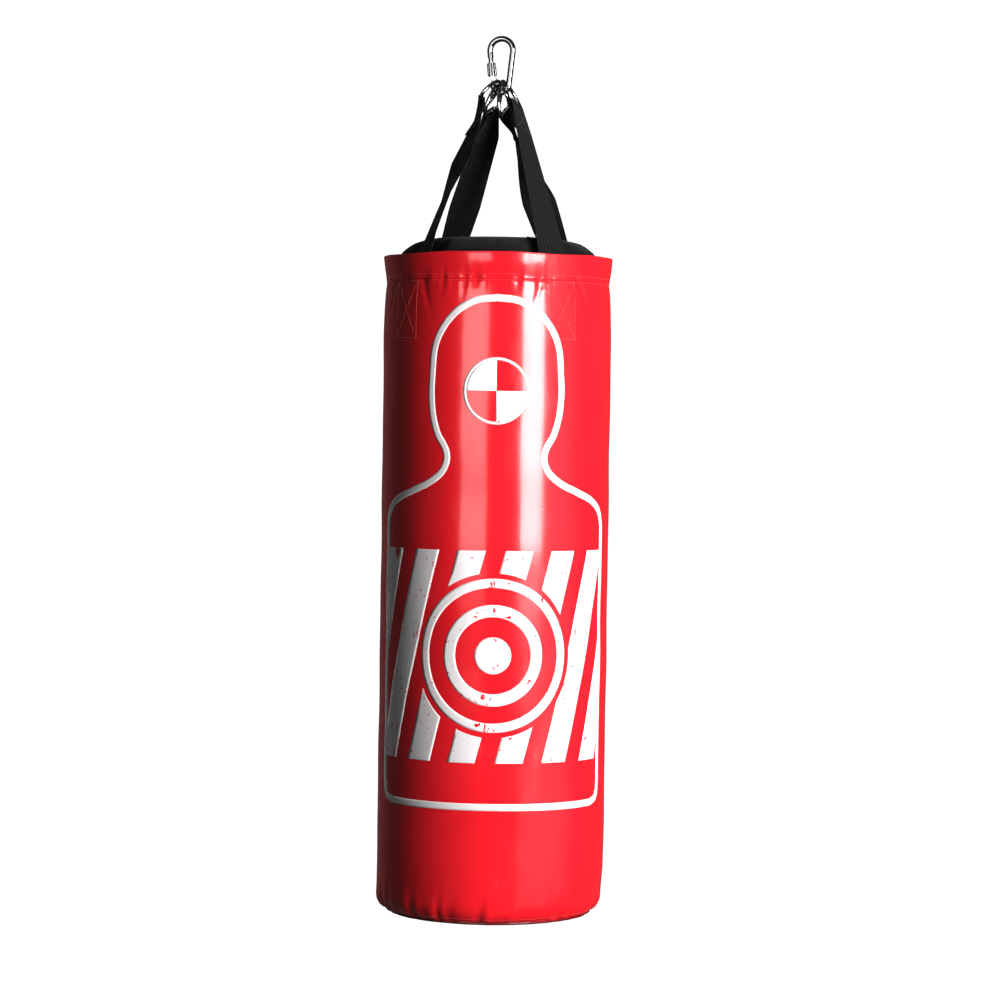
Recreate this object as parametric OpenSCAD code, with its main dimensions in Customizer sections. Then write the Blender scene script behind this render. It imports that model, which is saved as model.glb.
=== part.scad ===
// Hanging punching bag: a filled cylinder of coated cloth, hung by four webbing
// straps, four D-rings and a screw-gate carabiner. Millimetres, +Z up.
// The origin is the inside top of the carabiner's bow, where a hook would bear.
// -Y is the front of the bag, and bearings are measured from it towards +X.

/* [Bag] */
// Outer diameter of the bag's body
bag_d = 305; // [280:1:340]
// Height of the bag from its rim to the seam of its base
bag_h = 872; // [700:1:1100]
// Height from the bag's rim up to the hang point
hang_h = 290; // [280:5:330]
// Thickness of the coated cloth
skin_t = 1.5; // [1:0.1:2]
// Height of the collar above the shell's top seam
hem_h = 33; // [25:1:45]

/* [Filling] */
// Thickness of the foam sheet inside the shell
foam_t = 15; // [8:1:25]

/* [Straps] */
// Width of the webbing
strap_w = 49; // [40:1:50]
// Thickness of the webbing
strap_t = 2; // [1.5:0.1:2.5]
// Length of each strap's sewn tail inside the shell
tail_h = 78; // [50:1:100]

/* [D-rings] */
// Diameter of the ring's wire
ring_wire_d = 5; // [4.5:0.1:5.2]
// Inside width of the ring
ring_inner_w = 50; // [50:1:54]
// Straight part of the ring's legs, below its bow
ring_leg = 2; // [1:0.5:6]

/* [Carabiner] */
// Length over all
carabiner_h = 80; // [78:1:90]
// Width over all, at its top
carabiner_w = 39.6; // [38:0.2:44]
// Diameter of the wire
wire_d = 8; // [7.5:0.1:8.4]
// Turn of the carabiner about the vertical
carabiner_turn = -15; // [-30:1:0]

/* [Zip] */
// Length of the zip in the top cover
zip_l = 170; // [120:5:170]

/* [Hidden] */
$fn = 48;

// ---- carabiner: a pear of wire, wide end up, in its own plane (x across, z up)
wire_r = wire_d / 2;
top_r = carabiner_w / 2 - wire_r;
low_r = 10.8;
top_c = wire_r - top_r;
low_c = 3 * wire_r - carabiner_h + low_r;
leg_a = asin((top_r - low_r) / (top_c - low_c));
leg_l = (top_c - low_c) * cos(leg_a);
// Where the left leg leaves the lower bend, and the direction up that leg
leg_foot = [-low_r * cos(leg_a), low_c - low_r * sin(leg_a)];
leg_up = [-sin(leg_a), cos(leg_a)];
// The straight legs are a hair thinner than the bends, and run a little way into them
leg_r = wire_r - 0.06;
leg_in = 0.8;
pin_up = 7;
pin_r = 1.2;
pin_play = 0.05;
pin_xz = leg_foot + pin_up * leg_up;
ear_r = 5;
// Over both ears, which are a little flatter than the wire is thick
ears_w = wire_d - 0.8;
slot_w = 3.8;
tongue_w = 3.4;
tongue_bar_w = 5.2;
// The nose ends square across the leg, and the gate stops short of it by the gap
nose_at = leg_l - 4;
nose_gap = 0.5;
collar_l = 3;
rod_r = 3.3;
sleeve_r = 6.2;
sleeve_play = 0.2;
sleeve_up = 6.5;
sleeve_l = 16;
spring_r = 1.5;
spring_up = pin_up + 9;
spring_l = 14;
vent_r = 0.6;

// ---- D-rings: each hangs in the lower bend. Across, height of its wire over the bend's
// floor, lean away from the vertical to the side, and roll within its own plane.
ring_r = ring_wire_d / 2;
bow_r = ring_inner_w / 2 + ring_r;
ring_corner = 6;
ring_drop = ring_leg + ring_corner;
floor_z = low_c - low_r + wire_r;
// Order: front left, rear left, front right, rear right
RING_ACROSS = [-3.1, -2.75, 3.4, 2.75];
RING_OVER = [10.9, 5.2, 10.9, 5.2];
RING_LEAN = [40, 18, -28, -4];
RING_ROLL = [-22, 20, -18, 24];

// ---- straps: bearing of each sewn end, and how far the webbing has turned on its way down
STRAP_AT = [-52, -146, 34, 137];
STRAP_TURN = [[[0, 0], [0.16, 0.55], [0.33, 0.8], [0.53, 0.4], [0.75, 0.48], [1, 1]],
              [[0, 0], [0.15, 0.7], [0.33, 0.85], [0.53, 1.05], [0.75, 0.8], [1, 1]],
              [[0, 0], [0.3, 0.25], [0.7, 0.6], [1, 1]],
              [[0, 0], [0.28, 0.62], [0.5, 1.35], [0.75, 1.1], [1, 1]]];
strap_steps = 22;
loop_steps = 10;
loop_sweep = 290;
loop_play = 0.4;
loop_r = ring_r + loop_play + strap_t / 2;
// The webbing is drawn together where it passes the bar
loop_w = ring_inner_w - 10;

// ---- bag
bag_r = bag_d / 2;
rim_z = -hang_h;
seam_z = rim_z - hem_h;
base_z = rim_z - bag_h;
cinch = 4.5;
seam_r = bag_r - cinch;
hem_t = 2;
hem_flare = 3.3;
// Radius of the sewn tails' inner face
tail_r = seam_r - skin_t - 3.1;
liner_gap = 1;
base_sag = 12;
piping_r = 2.2;
dome_top = rim_z + 24;
dome_flat = zip_l / 2 + 2;

// ---- zip, straight across the flat of the dome
tape_t = 0.8;
tape_w = 13;
tooth_h = 1.8;
tooth_w = 2.1;
tooth_pitch = 4;
teeth_l = zip_l - 16;
teeth_z = dome_top + tape_t;
slider_l = 12;
slider_x = teeth_l / 2 - 12;
slider_play = 0.4;
hinge_z = teeth_z + tooth_h + slider_play + 2.8;
pull_pin_r = 0.6;
pull_eye_r = 1.5;
pull_l = 24;

// ---- turning a vector about an axis
function turn_x(v, a) = [v[0], v[1] * cos(a) - v[2] * sin(a), v[1] * sin(a) + v[2] * cos(a)];
function turn_y(v, a) = [v[0] * cos(a) + v[2] * sin(a), v[1], v[2] * cos(a) - v[0] * sin(a)];
function turn_z(v, a) = [v[0] * cos(a) - v[1] * sin(a), v[0] * sin(a) + v[1] * cos(a), v[2]];
function unit(v) = v / norm(v);

// Direction outwards, and along the rim, at a bearing
function outward(a) = [sin(a), -cos(a), 0];
function along_rim(a) = [cos(a), sin(a), 0];

// A point or direction of ring i, from the ring's own frame to the bag's
function ring_dir(i, v) = turn_z(turn_y(turn_x(v, RING_ROLL[i]), RING_LEAN[i]), carabiner_turn);
function ring_hang(i) = turn_z([RING_ACROSS[i], 0, floor_z + RING_OVER[i]], carabiner_turn);
function bow_centre(i) =
    ring_hang(i) + turn_z(turn_y([0, 0, -bow_r], RING_LEAN[i]), carabiner_turn);
function bar_centre(i) = bow_centre(i) + ring_dir(i, [0, 0, -ring_drop]);

// ---- carabiner

// Wire along an arc in the carabiner's plane, about (0, z), from one angle over another
module wire_arc(r, z, from, sweep)
    translate([0, 0, z]) rotate([90, 0, 0]) rotate([0, 0, from])
        rotate_extrude(angle = sweep) translate([r, 0]) circle(wire_r);

// A straight rod up the left leg, from one distance above its foot to another
module leg_rod(r, from, to)
    translate([leg_foot[0] + from * leg_up[0], 0, leg_foot[1] + from * leg_up[1]])
        rotate([0, -leg_a, 0]) cylinder(h = to - from, r = r);

module at_pin(w, r)
    translate([pin_xz[0], w / 2, pin_xz[1]]) rotate([90, 0, 0]) cylinder(h = w, r = r);

module carabiner_body() {
    color("silver") rotate([0, 0, carabiner_turn])
    difference() {
        union() {
            wire_arc(low_r, low_c, 180 + leg_a, 180 - 2 * leg_a);
            mirror([1, 0, 0]) leg_rod(leg_r, -leg_in, leg_l + leg_in);
            wire_arc(top_r, top_c, -leg_a, 180 + 2 * leg_a);
            leg_rod(leg_r, nose_at, leg_l + leg_in);
            leg_rod(leg_r, -leg_in, pin_up);
            at_pin(ears_w, ear_r);
        }
        translate([pin_xz[0] - 12, -slot_w / 2, pin_xz[1] - ear_r - 0.6])
            cube([24, slot_w, 12]);
        at_pin(4 * wire_r, pin_r);
    }
}

module gate_pin() {
    color("dimgray") rotate([0, 0, carabiner_turn]) at_pin(ears_w, pin_r);
}

module carabiner_gate() {
    color("silver") rotate([0, 0, carabiner_turn])
    difference() {
        union() {
            leg_rod(rod_r, pin_up + ear_r + 1, nose_at - nose_gap);
            leg_rod(wire_r, nose_at - nose_gap - collar_l, nose_at - nose_gap);
            at_pin(tongue_w, ear_r - 0.2);
            translate([pin_xz[0], 0, pin_xz[1]]) rotate([0, -leg_a, 0])
                translate([-tongue_bar_w / 2, -tongue_w / 2, 0])
                    cube([tongue_bar_w, tongue_w, ear_r + 2]);
        }
        at_pin(4 * wire_r, pin_r + pin_play);
        // Bore of the spring, and its vent
        leg_rod(spring_r, spring_up, spring_up + spring_l);
        translate([leg_foot[0] + (spring_up + spring_l / 2) * leg_up[0], 0,
                   leg_foot[1] + (spring_up + spring_l / 2) * leg_up[1]])
            rotate([90, 0, 0]) cylinder(h = wire_d, r = vent_r);
    }
}

module gate_spring() {
    color("gray") rotate([0, 0, carabiner_turn])
    difference() {
        leg_rod(spring_r - 0.1, spring_up + 0.1, spring_up + spring_l - 0.1);
        leg_rod(spring_r - 0.6, spring_up - 1, spring_up + spring_l + 1);
    }
}

module screw_sleeve() {
    color("lightgray") rotate([0, 0, carabiner_turn])
    difference() {
        union() {
            leg_rod(sleeve_r, pin_up + sleeve_up, pin_up + sleeve_up + sleeve_l);
            leg_rod(sleeve_r - 0.8, pin_up + sleeve_up - 0.8, pin_up + sleeve_up + sleeve_l + 0.8);
        }
        leg_rod(rod_r + sleeve_play, 0, leg_l);
        // Knurled grip: shallow flutes along the sleeve
        for (a = [0 : 30 : 330])
            translate([pin_xz[0], 0, pin_xz[1]]) rotate([0, -leg_a, 0])
                rotate([0, 0, a]) translate([sleeve_r + 0.6, 0, sleeve_up - 2])
                    cylinder(h = sleeve_l + 4, r = 1.1, $fn = 16);
    }
}

// ---- D-rings

module ring_arc(r, from, sweep)
    rotate([90, 0, 90]) rotate([0, 0, from])
        rotate_extrude(angle = sweep) translate([r, 0]) circle(ring_r);

module d_ring(i) {
    translate(ring_hang(i)) rotate([0, 0, carabiner_turn]) rotate([0, RING_LEAN[i], 0])
    translate([0, 0, -bow_r]) rotate([RING_ROLL[i], 0, 0]) {
        ring_arc(bow_r, 0, 180);
        for (s = [0, 1]) mirror([0, s, 0]) {
            translate([0, bow_r, -ring_leg]) cylinder(h = ring_leg, r = ring_r);
            translate([0, bow_r - ring_corner, -ring_leg]) ring_arc(ring_corner, 270, 90);
        }
        translate([0, bow_r - ring_corner, -ring_drop]) rotate([90, 0, 0])
            cylinder(h = 2 * (bow_r - ring_corner), r = ring_r);
    }
}

module ring_front_left() { color("gainsboro") d_ring(0); }
module ring_rear_left() { color("gainsboro") d_ring(1); }
module ring_front_right() { color("gainsboro") d_ring(2); }
module ring_rear_right() { color("gainsboro") d_ring(3); }

// ---- straps

// Where strap i meets the shell's top seam
function strap_foot(i) = (tail_r + strap_t / 2) * outward(STRAP_AT[i]) + [0, 0, seam_z - 4];
function bar_dir(i) = ring_dir(i, [0, 1, 0]);
// The webbing bears on one side of the ring's bar
function bar_face(i) = unit(cross(strap_foot(i) - bar_centre(i), bar_dir(i)));
function strap_top(i) = bar_centre(i) + loop_r * bar_face(i);
function strap_run(i) = strap_foot(i) - strap_top(i);
function strap_axis(i) = unit(strap_run(i));
function strap_side(i) = unit(bar_dir(i) - (bar_dir(i) * strap_axis(i)) * strap_axis(i));
function strap_face(i) = cross(strap_axis(i), strap_side(i));
// Whole turn of the webbing from the bar to the seam, by the shorter way
function foot_turn(i) =
    let (t = along_rim(STRAP_AT[i])) atan2(t * strap_face(i), t * strap_side(i));
function strap_turn(i) = foot_turn(i) > 90 ? foot_turn(i) - 180
    : foot_turn(i) < -90 ? foot_turn(i) + 180 : foot_turn(i);

// Section of the webbing: its centre, side and face directions, width, and the part of
// the shell's curve that it has taken
function section(i, c, side, face, w, curve) =
    let (bend = -curve / (2 * tail_r) * outward(STRAP_AT[i]),
         xs = [for (k = [-2 : 2]) k / 4 * w])
    concat([for (x = xs) c + x * side + strap_t / 2 * face + x * x * bend],
           [for (k = [4 : -1 : 0]) c + xs[k] * side - strap_t / 2 * face + xs[k] * xs[k] * bend]);

// Round the ring's bar
function loop_section(i, a) =
    let (up = cross(bar_dir(i), bar_face(i)), out = cos(a) * bar_face(i) + sin(a) * up)
    section(i, bar_centre(i) + loop_r * out, bar_dir(i), out, loop_w, 0);

// A fraction u of the way from the bar to the seam
function run_section(i, u) =
    let (a = strap_turn(i) * lookup(u, STRAP_TURN[i]),
         side = cos(a) * strap_side(i) + sin(a) * strap_face(i),
         face = cos(a) * strap_face(i) - sin(a) * strap_side(i))
    section(i, strap_top(i) + u * strap_run(i), side, face,
            lookup(u, [[0, loop_w], [0.14, strap_w], [1, strap_w]]), lookup(u, [[0.6, 0], [1, 1]]));

// Down the inside of the shell
function tail_section(i, d) =
    section(i, strap_foot(i) - [0, 0, d], foot_side(i), foot_face(i), strap_w, 1);
function foot_side(i) = cos(strap_turn(i)) * strap_side(i) + sin(strap_turn(i)) * strap_face(i);
// Level across the tail, on the side that the webbing's face has turned to
function foot_face(i) =
    let (level = cross(foot_side(i), [0, 0, 1]),
         face = cos(strap_turn(i)) * strap_face(i) - sin(strap_turn(i)) * strap_side(i))
    sign(level * face) * level;

// One length of webbing: round the bar, down to the seam, and its tail
module strap(i) {
    sections = concat([for (k = [loop_steps : -1 : 1]) loop_section(i, k * loop_sweep / loop_steps)],
                      [for (k = [0 : strap_steps]) run_section(i, k / strap_steps)],
                      [for (d = [tail_h / 2, tail_h - 4]) tail_section(i, d)]);
    sides = len(sections[0]);
    half = sides / 2;
    last = (len(sections) - 1) * sides;
    polyhedron([for (s = sections) each s], concat(
        [for (j = [0 : half - 2]) each [[j, j + 1, sides - 2 - j], [j, sides - 2 - j, sides - 1 - j]]],
        [for (j = [0 : half - 2]) each [[last + j, last + sides - 2 - j, last + j + 1],
                                        [last + j, last + sides - 1 - j, last + sides - 2 - j]]],
        [for (k = [0 : sides : last - 1], j = [0 : sides - 1])
            let (a = k + j, b = k + (j + 1) % sides)
                each [[a, a + sides, b + sides], [a, b + sides, b]]]),
        convexity = 8);
}

module strap_front_left() { color("#1b1b1c") strap(0); }
module strap_rear_left() { color("#1b1b1c") strap(1); }
module strap_front_right() { color("#1b1b1c") strap(2); }
module strap_rear_right() { color("#1b1b1c") strap(3); }

// ---- bag

// Points of an arc about c, radius r
function arc(c, r, from, to, steps) =
    [for (k = [0 : steps]) let (a = from + (to - from) * k / steps) c + r * [cos(a), sin(a)]];

// The shell's outer line, from its top seam down to its base seam, drawn in by g all round
function shell_line(g) = concat(
    [[seam_r - g, seam_z], [seam_r + 2.6 - g, seam_z - 14], [bag_r - 0.6 - g, seam_z - 36],
     [bag_r - g, seam_z - 70], [bag_r - g, base_z + 30]],
    arc([bag_r - 26, base_z + 26], 26 - g, -10, -60, 5));

module shell() {
    outer = shell_line(0);
    inner = shell_line(skin_t);
    color("crimson") rotate_extrude()
        polygon(concat(outer, [for (k = [len(inner) - 1 : -1 : 0]) inner[k]]));
}

module hem_band() {
    color("crimson") rotate_extrude()
        polygon([[seam_r + 1.2 - hem_t, seam_z], [seam_r + 1.2, seam_z],
                 [seam_r + 1.2 + hem_flare, rim_z], [seam_r + 1.2 + hem_flare - hem_t, rim_z]]);
}

// Radius and height of the shell's last point, where base and piping join it
shell_end = shell_line(0)[len(shell_line(0)) - 1];
panel_r = shell_end[0] - 2 * piping_r - 0.4;

module bottom_panel() {
    color("firebrick") rotate_extrude()
        polygon([[0, shell_end[1] - base_sag + 2], [0, shell_end[1] - base_sag],
                 [panel_r * 0.55, shell_end[1] - base_sag * 0.8],
                 [panel_r * 0.85, shell_end[1] - base_sag * 0.42], [panel_r, shell_end[1] - 2],
                 [panel_r, shell_end[1]], [panel_r * 0.85, shell_end[1] - base_sag * 0.42 + 2],
                 [panel_r * 0.55, shell_end[1] - base_sag * 0.8 + 2]]);
}

module bottom_piping() {
    color("darkred") rotate_extrude()
        translate([panel_r + piping_r + 0.1, shell_end[1] - 1]) circle(piping_r, $fn = 24);
}

// The dome's line, from the centre out to the seam, lowered by g
function dome_line(g) = concat(
    [[0, dome_top - g], [dome_flat, dome_top - g]],
    [[dome_flat + 13, dome_top - 2 - g], [dome_flat + 22, dome_top - 8 - g],
     [dome_flat + 28, dome_top - 24 - g], [tail_r - 3 - g, seam_z - 2]]);

module top_cover() {
    outer = dome_line(0);
    inner = dome_line(2);
    color("#161616") rotate_extrude()
        polygon(concat(outer, [for (k = [len(inner) - 1 : -1 : 0]) inner[k]]));
}

liner_top = seam_z - 6;
liner_r = bag_r - skin_t - liner_gap;

module foam_liner() {
    color("khaki") rotate_extrude()
        polygon([[tail_r - liner_gap, liner_top], [tail_r - liner_gap, seam_z - tail_h - 4],
                 [liner_r, seam_z - tail_h - 12], [liner_r, base_z + 34],
                 [liner_r - foam_t, base_z + 34], [liner_r - foam_t, seam_z - tail_h - 20],
                 [tail_r - liner_gap - foam_t, seam_z - tail_h - 28],
                 [tail_r - liner_gap - foam_t, liner_top]]);
}

fill_r = tail_r - liner_gap - foam_t - 0.4;

module textile_fill() {
    color("slategray") rotate_extrude()
        polygon([[0, dome_top - 4], [dome_flat, dome_top - 4], [dome_flat + 19, dome_top - 16],
                 [dome_flat + 25, dome_top - 32], [fill_r - 1, dome_top - 52],
                 [fill_r, dome_top - 62], [fill_r, base_z + 30], [panel_r - 14, base_z + 10],
                 [panel_r * 0.5, base_z - 1], [0, base_z - 1]]);
}

// ---- zip

module zip_tape(s)
    translate([-zip_l / 2, s > 0 ? 0.2 : -tape_w - 0.2, dome_top])
        cube([zip_l, tape_w, tape_t]);

module zip_tape_front() { color("#202020") zip_tape(-1); }
module zip_tape_rear() { color("#202020") zip_tape(1); }

module zip_teeth() {
    color("#2c2c2c") for (s = [0, 1], x = [-teeth_l / 2 : tooth_pitch : teeth_l / 2 - 3])
        translate([x + s * tooth_pitch / 2, s ? -0.6 : 0.6 - tooth_w, teeth_z])
            cube([tooth_pitch / 2 - 0.3, tooth_w, tooth_h]);
}

module zip_stops() {
    color("silver") for (s = [-1, 1])
        translate([s * (teeth_l / 2 + 3) - 1.5, -2, teeth_z]) cube([3, 4, 2]);
}

module zip_slider() {
    roof = teeth_z + tooth_h + slider_play;
    color("silver") translate([slider_x - slider_l / 2, 0, 0]) {
        translate([0, -3.8, roof]) cube([slider_l, 7.6, 1]);
        for (s = [0, 1]) mirror([0, s, 0]) {
            translate([0, 2.6, teeth_z + 0.3]) cube([slider_l, 1.2, roof - teeth_z]);
            translate([slider_l / 2 - 2, 2.2, roof + 0.5]) cube([4, 1, 3.3]);
        }
        translate([slider_l / 2, 2.7, hinge_z]) rotate([90, 0, 0])
            cylinder(h = 5.4, r = pull_pin_r);
    }
}

module zip_pull() {
    color("silver") translate([slider_x, 0, hinge_z]) difference() {
        union() {
            rotate([90, 0, 0]) translate([0, 0, -1.7]) cylinder(h = 3.4, r = pull_eye_r);
            translate([-pull_l, -1.7, -0.5]) cube([pull_l, 3.4, 1]);
            translate([-pull_l, 0, -0.5]) cylinder(h = 1, r = 3.6);
        }
        rotate([90, 0, 0]) translate([0, 0, -5]) cylinder(h = 10, r = pull_pin_r + 0.08);
        translate([-pull_l, 0, -2]) cylinder(h = 4, r = 1.6);
    }
}

carabiner_body();
gate_pin();
carabiner_gate();
gate_spring();
screw_sleeve();
ring_front_left();
ring_rear_left();
ring_front_right();
ring_rear_right();
strap_front_left();
strap_rear_left();
strap_front_right();
strap_rear_right();
shell();
hem_band();
bottom_panel();
bottom_piping();
top_cover();
foam_liner();
textile_fill();
zip_tape_front();
zip_tape_rear();
zip_teeth();
zip_stops();
zip_slider();
zip_pull();
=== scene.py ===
"""Looks of a hanging punching bag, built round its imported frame.

The frame's own metal pieces stay and get their finishes here. The sewn and padded pieces are
built as they are made: a gathered vinyl shell with its collar and base, a cloth cover with a
zip, four webbing straps, the print and the stitching. Metres, +Z up, origin at the hang point.
"""

import math
import random

import bmesh
import bpy
import numpy as np
from mathutils import Matrix, Vector


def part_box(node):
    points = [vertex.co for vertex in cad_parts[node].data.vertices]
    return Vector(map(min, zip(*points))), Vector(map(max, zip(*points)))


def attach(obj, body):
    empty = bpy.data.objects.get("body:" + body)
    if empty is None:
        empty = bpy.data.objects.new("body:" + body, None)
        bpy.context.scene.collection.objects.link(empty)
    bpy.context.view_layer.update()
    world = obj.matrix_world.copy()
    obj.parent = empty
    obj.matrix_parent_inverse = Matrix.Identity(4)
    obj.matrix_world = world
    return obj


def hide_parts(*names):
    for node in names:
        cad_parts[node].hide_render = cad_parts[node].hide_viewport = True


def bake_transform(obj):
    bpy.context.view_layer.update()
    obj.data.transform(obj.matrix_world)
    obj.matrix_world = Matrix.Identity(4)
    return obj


bl_info = {
    "name": "Hanging punching bag",
    "version": (1, 0, 0),
    "blender": (4, 5, 0),
    "location": "3D View > Sidebar > Bag",
    "description": "Builds the sewn pieces, print, stitching and finishes of a punching bag",
    "category": "Object",
}

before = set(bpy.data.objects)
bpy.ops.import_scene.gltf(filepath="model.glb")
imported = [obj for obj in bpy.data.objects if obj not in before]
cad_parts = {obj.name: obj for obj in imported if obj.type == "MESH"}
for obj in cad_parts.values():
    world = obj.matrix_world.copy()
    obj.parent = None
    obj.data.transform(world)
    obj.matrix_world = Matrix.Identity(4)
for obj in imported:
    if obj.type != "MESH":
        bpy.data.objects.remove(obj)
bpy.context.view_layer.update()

MM = 0.001
TAU = 2 * math.pi
RINGS = ("ring_front_left", "ring_rear_left", "ring_front_right", "ring_rear_right")
STRAPS = ("strap_front_left", "strap_rear_left", "strap_front_right", "strap_rear_right")

# Driving sizes, all read from the frame
BAG_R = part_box("shell")[1].x
SEAM_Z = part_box("shell")[1].z
# The weight of the filling draws the base seam this far down
SETTLE = 4 * MM
BASE_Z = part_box("shell")[0].z - SETTLE
RIM_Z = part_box("hem_band")[1].z
COLLAR_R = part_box("hem_band")[1].x
COVER_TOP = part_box("top_cover")[1].z
COVER_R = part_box("top_cover")[1].x
PANEL_LO, PANEL_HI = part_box("bottom_panel")
PIPING_LO, PIPING_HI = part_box("bottom_piping")
TEETH_LO, TEETH_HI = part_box("zip_teeth")
# The collar starts inside the top seam and flares out to its rim
COLLAR_FOOT_R = BAG_R - 3.4 * MM
COLLAR_RIM_R = COLLAR_R + 0.9 * MM

# Where the webbing hangs: bearing of each sewn end from the front, towards +X, in degrees
STRAP_AT = (-52, -146, 34, 137)
STRAP_T = 2 * MM
STRAP_W = 49 * MM
LOOP_W = 40 * MM
TAIL_H = 78 * MM
TAIL_R = BAG_R - 9.1 * MM
# The carabiner's turn about the vertical, its gate's lean, and the floor of its lower bend
CARABINER_TURN = -15
GATE_LEAN = 6.323
BEND_FLOOR = -64 * MM
# Each ring: across the bend, height over its floor, lean and roll in degrees
RING_ACROSS = (-3.1 * MM, -2.75 * MM, 3.4 * MM, 2.75 * MM)
RING_OVER = (10.9 * MM, 5.2 * MM, 10.9 * MM, 5.2 * MM)
RING_LEAN = (40, 18, -28, -4)
RING_ROLL = (-22, 20, -18, 24)
RING_R = 2.5 * MM
BOW_R = 27.5 * MM
RING_DROP = 8 * MM
# Share of the webbing's turn that is taken at each share of its way from ring to seam
STRAP_TURN = (
    ((0, 0), (0.16, 0.55), (0.33, 0.8), (0.53, 0.4), (0.75, 0.48), (1, 1)),
    ((0, 0), (0.15, 0.7), (0.33, 0.85), (0.53, 1.05), (0.75, 0.8), (1, 1)),
    ((0, 0), (0.3, 0.25), (0.7, 0.6), (1, 1)),
    ((0, 0), (0.28, 0.62), (0.5, 1.35), (0.75, 1.1), (1, 1)),
)


# ---- settings -----------------------------------------------------------------------------

def length(name, description, default):
    """A setting that is a length in metres."""
    return bpy.props.FloatProperty(name=name, description=description, default=default, min=0,
                                   precision=5, unit="LENGTH")


def colour(name, description, default):
    """A setting that is a colour, in linear light."""
    return bpy.props.FloatVectorProperty(name=name, description=description, default=default,
                                         min=0, max=1, size=3, subtype="COLOR")


def power(name, description, default):
    """A setting that is a lamp's power in watts."""
    return bpy.props.FloatProperty(name=name, description=description, default=default, min=0,
                                   unit="POWER")


class BagSizes(bpy.types.PropertyGroup):
    """Sizes of the sewing and of the slack in the cloth."""
    pleat_depth: length("Pleat depth", "Depth of the gathers at the top seam", 1.7 * MM)
    base_pleat_depth: length("Base pleats", "Depth of the gathers round the base", 5.4 * MM)
    slack: length("Slack", "How far the filled shell waves in and out", 0.7 * MM)
    stitch: length("Stitch", "Length of one stitch", 3.0 * MM)
    stitch_pitch: length("Stitch pitch", "From one stitch to the next", 3.9 * MM)
    thread: length("Thread", "Thickness of the sewing thread", 0.7 * MM)
    print_width: length("Print line", "Width of the printed outline", 9.2 * MM)
    stripe_width: length("Stripe", "Width of a printed stripe", 37 * MM)
    stripe_pitch: length("Stripe pitch", "From one printed stripe to the next", 63 * MM)
    emblem_radius: length("Emblem", "Radius of the printed rings", 100 * MM)


class BagFinishes(bpy.types.PropertyGroup):
    """Colours of the materials."""
    vinyl: colour("Vinyl", "Coated cloth of the shell", (0.80, 0.009, 0.017))
    ink: colour("Ink", "Print on the shell", (0.86, 0.83, 0.83))
    webbing: colour("Webbing", "Woven straps", (0.0022, 0.0022, 0.0024))
    cover: colour("Cover", "Cloth of the top cover", (0.0018, 0.0018, 0.002))
    thread: colour("Box thread", "Thread of the boxes sewn over the straps", (0.85, 0.09, 0.07))
    seam_thread: colour("Seam thread", "Thread of the top and base seams", (0.76, 0.03, 0.03))
    steel: colour("Steel", "Plated steel", (0.76, 0.77, 0.78))


class StudioSettings(bpy.types.PropertyGroup):
    """Lights and camera."""
    key: power("Key light", "Tall softbox, front right, for the broad highlight", 78)
    second: power("Second light", "Tall softbox, front left, for the faint highlight", 26)
    fill: power("Fill light", "Broad light from the right, with no reflection", 112)
    back: power("Back light", "Broad light from behind, with no reflection", 75)
    distance: length("Camera distance", "From the bag's axis to the camera", 4.0)
    lens: bpy.props.FloatProperty(name="Lens", description="Focal length", default=107.1,
                                  unit="CAMERA")


# ---- mesh helpers -------------------------------------------------------------------------

def add_object(name, mesh):
    """Puts a mesh in the scene as a piece of its own."""
    piece = bpy.data.objects.new(name, mesh)
    bpy.context.scene.collection.objects.link(piece)
    return piece


def mesh_piece(name, points, faces):
    """A smooth-shaded piece from points and faces."""
    mesh = bpy.data.meshes.new(name)
    mesh.from_pydata(np.asarray(points, float).reshape(-1, 3).tolist(), [], faces)
    mesh.polygons.foreach_set("use_smooth", [True] * len(mesh.polygons))
    mesh.update()
    return add_object(name, mesh)


def grid_faces(rows, columns, row_loop, column_loop):
    """Quads of a grid of points, rows first. Facing outwards where rows run down and columns
    run anticlockwise seen from above."""
    faces = []
    for i in range(rows if row_loop else rows - 1):
        a, c = i * columns, ((i + 1) % rows) * columns
        for j in range(columns if column_loop else columns - 1):
            k = (j + 1) % columns
            faces.append((a + j, c + j, c + k, a + k))
    return faces


def lathe(name, line, columns, shape=None, loop=False):
    """Turns (radius, height) points round the vertical. shape(theta, r, z) bends the surface.
    A first or last point on the axis becomes a pole; loop joins the last row to the first."""
    line = np.array(line, float)
    top_pole, low_pole = line[0, 0] == 0, line[-1, 0] == 0
    rows = line[int(top_pole):len(line) - int(low_pole)]
    theta = np.arange(columns) * TAU / columns
    theta = np.broadcast_to(theta, (len(rows), columns))
    r, z = rows[:, :1] + 0 * theta, rows[:, 1:] + 0 * theta
    if shape:
        r, z = shape(theta, r, z)
    points = np.stack([r * np.sin(theta), -r * np.cos(theta), z], -1).reshape(-1, 3).tolist()
    faces = grid_faces(len(rows), columns, loop, True)
    for pole, row, flip in ((top_pole, 0, False), (low_pole, len(rows) - 1, True)):
        if pole:
            height = line[-1 if flip else 0, 1]
            points.append((0, 0, height))
            start, centre = row * columns, len(points) - 1
            for j in range(columns):
                pair = (start + j, start + (j + 1) % columns)
                faces.append((centre, *(reversed(pair) if flip else pair)))
    return mesh_piece(name, points, faces)


def evaluated_copy(source, name):
    """A plain mesh piece of what the source's modifiers make; the source is removed."""
    bpy.context.view_layer.update()
    graph = bpy.context.evaluated_depsgraph_get()
    mesh = bpy.data.meshes.new_from_object(source.evaluated_get(graph))
    old = source.data
    bpy.data.objects.remove(source)
    bpy.data.meshes.remove(old)
    mesh.name = name
    piece = add_object(name, mesh)
    mesh.polygons.foreach_set("use_smooth", [True] * len(mesh.polygons))
    return piece


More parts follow.
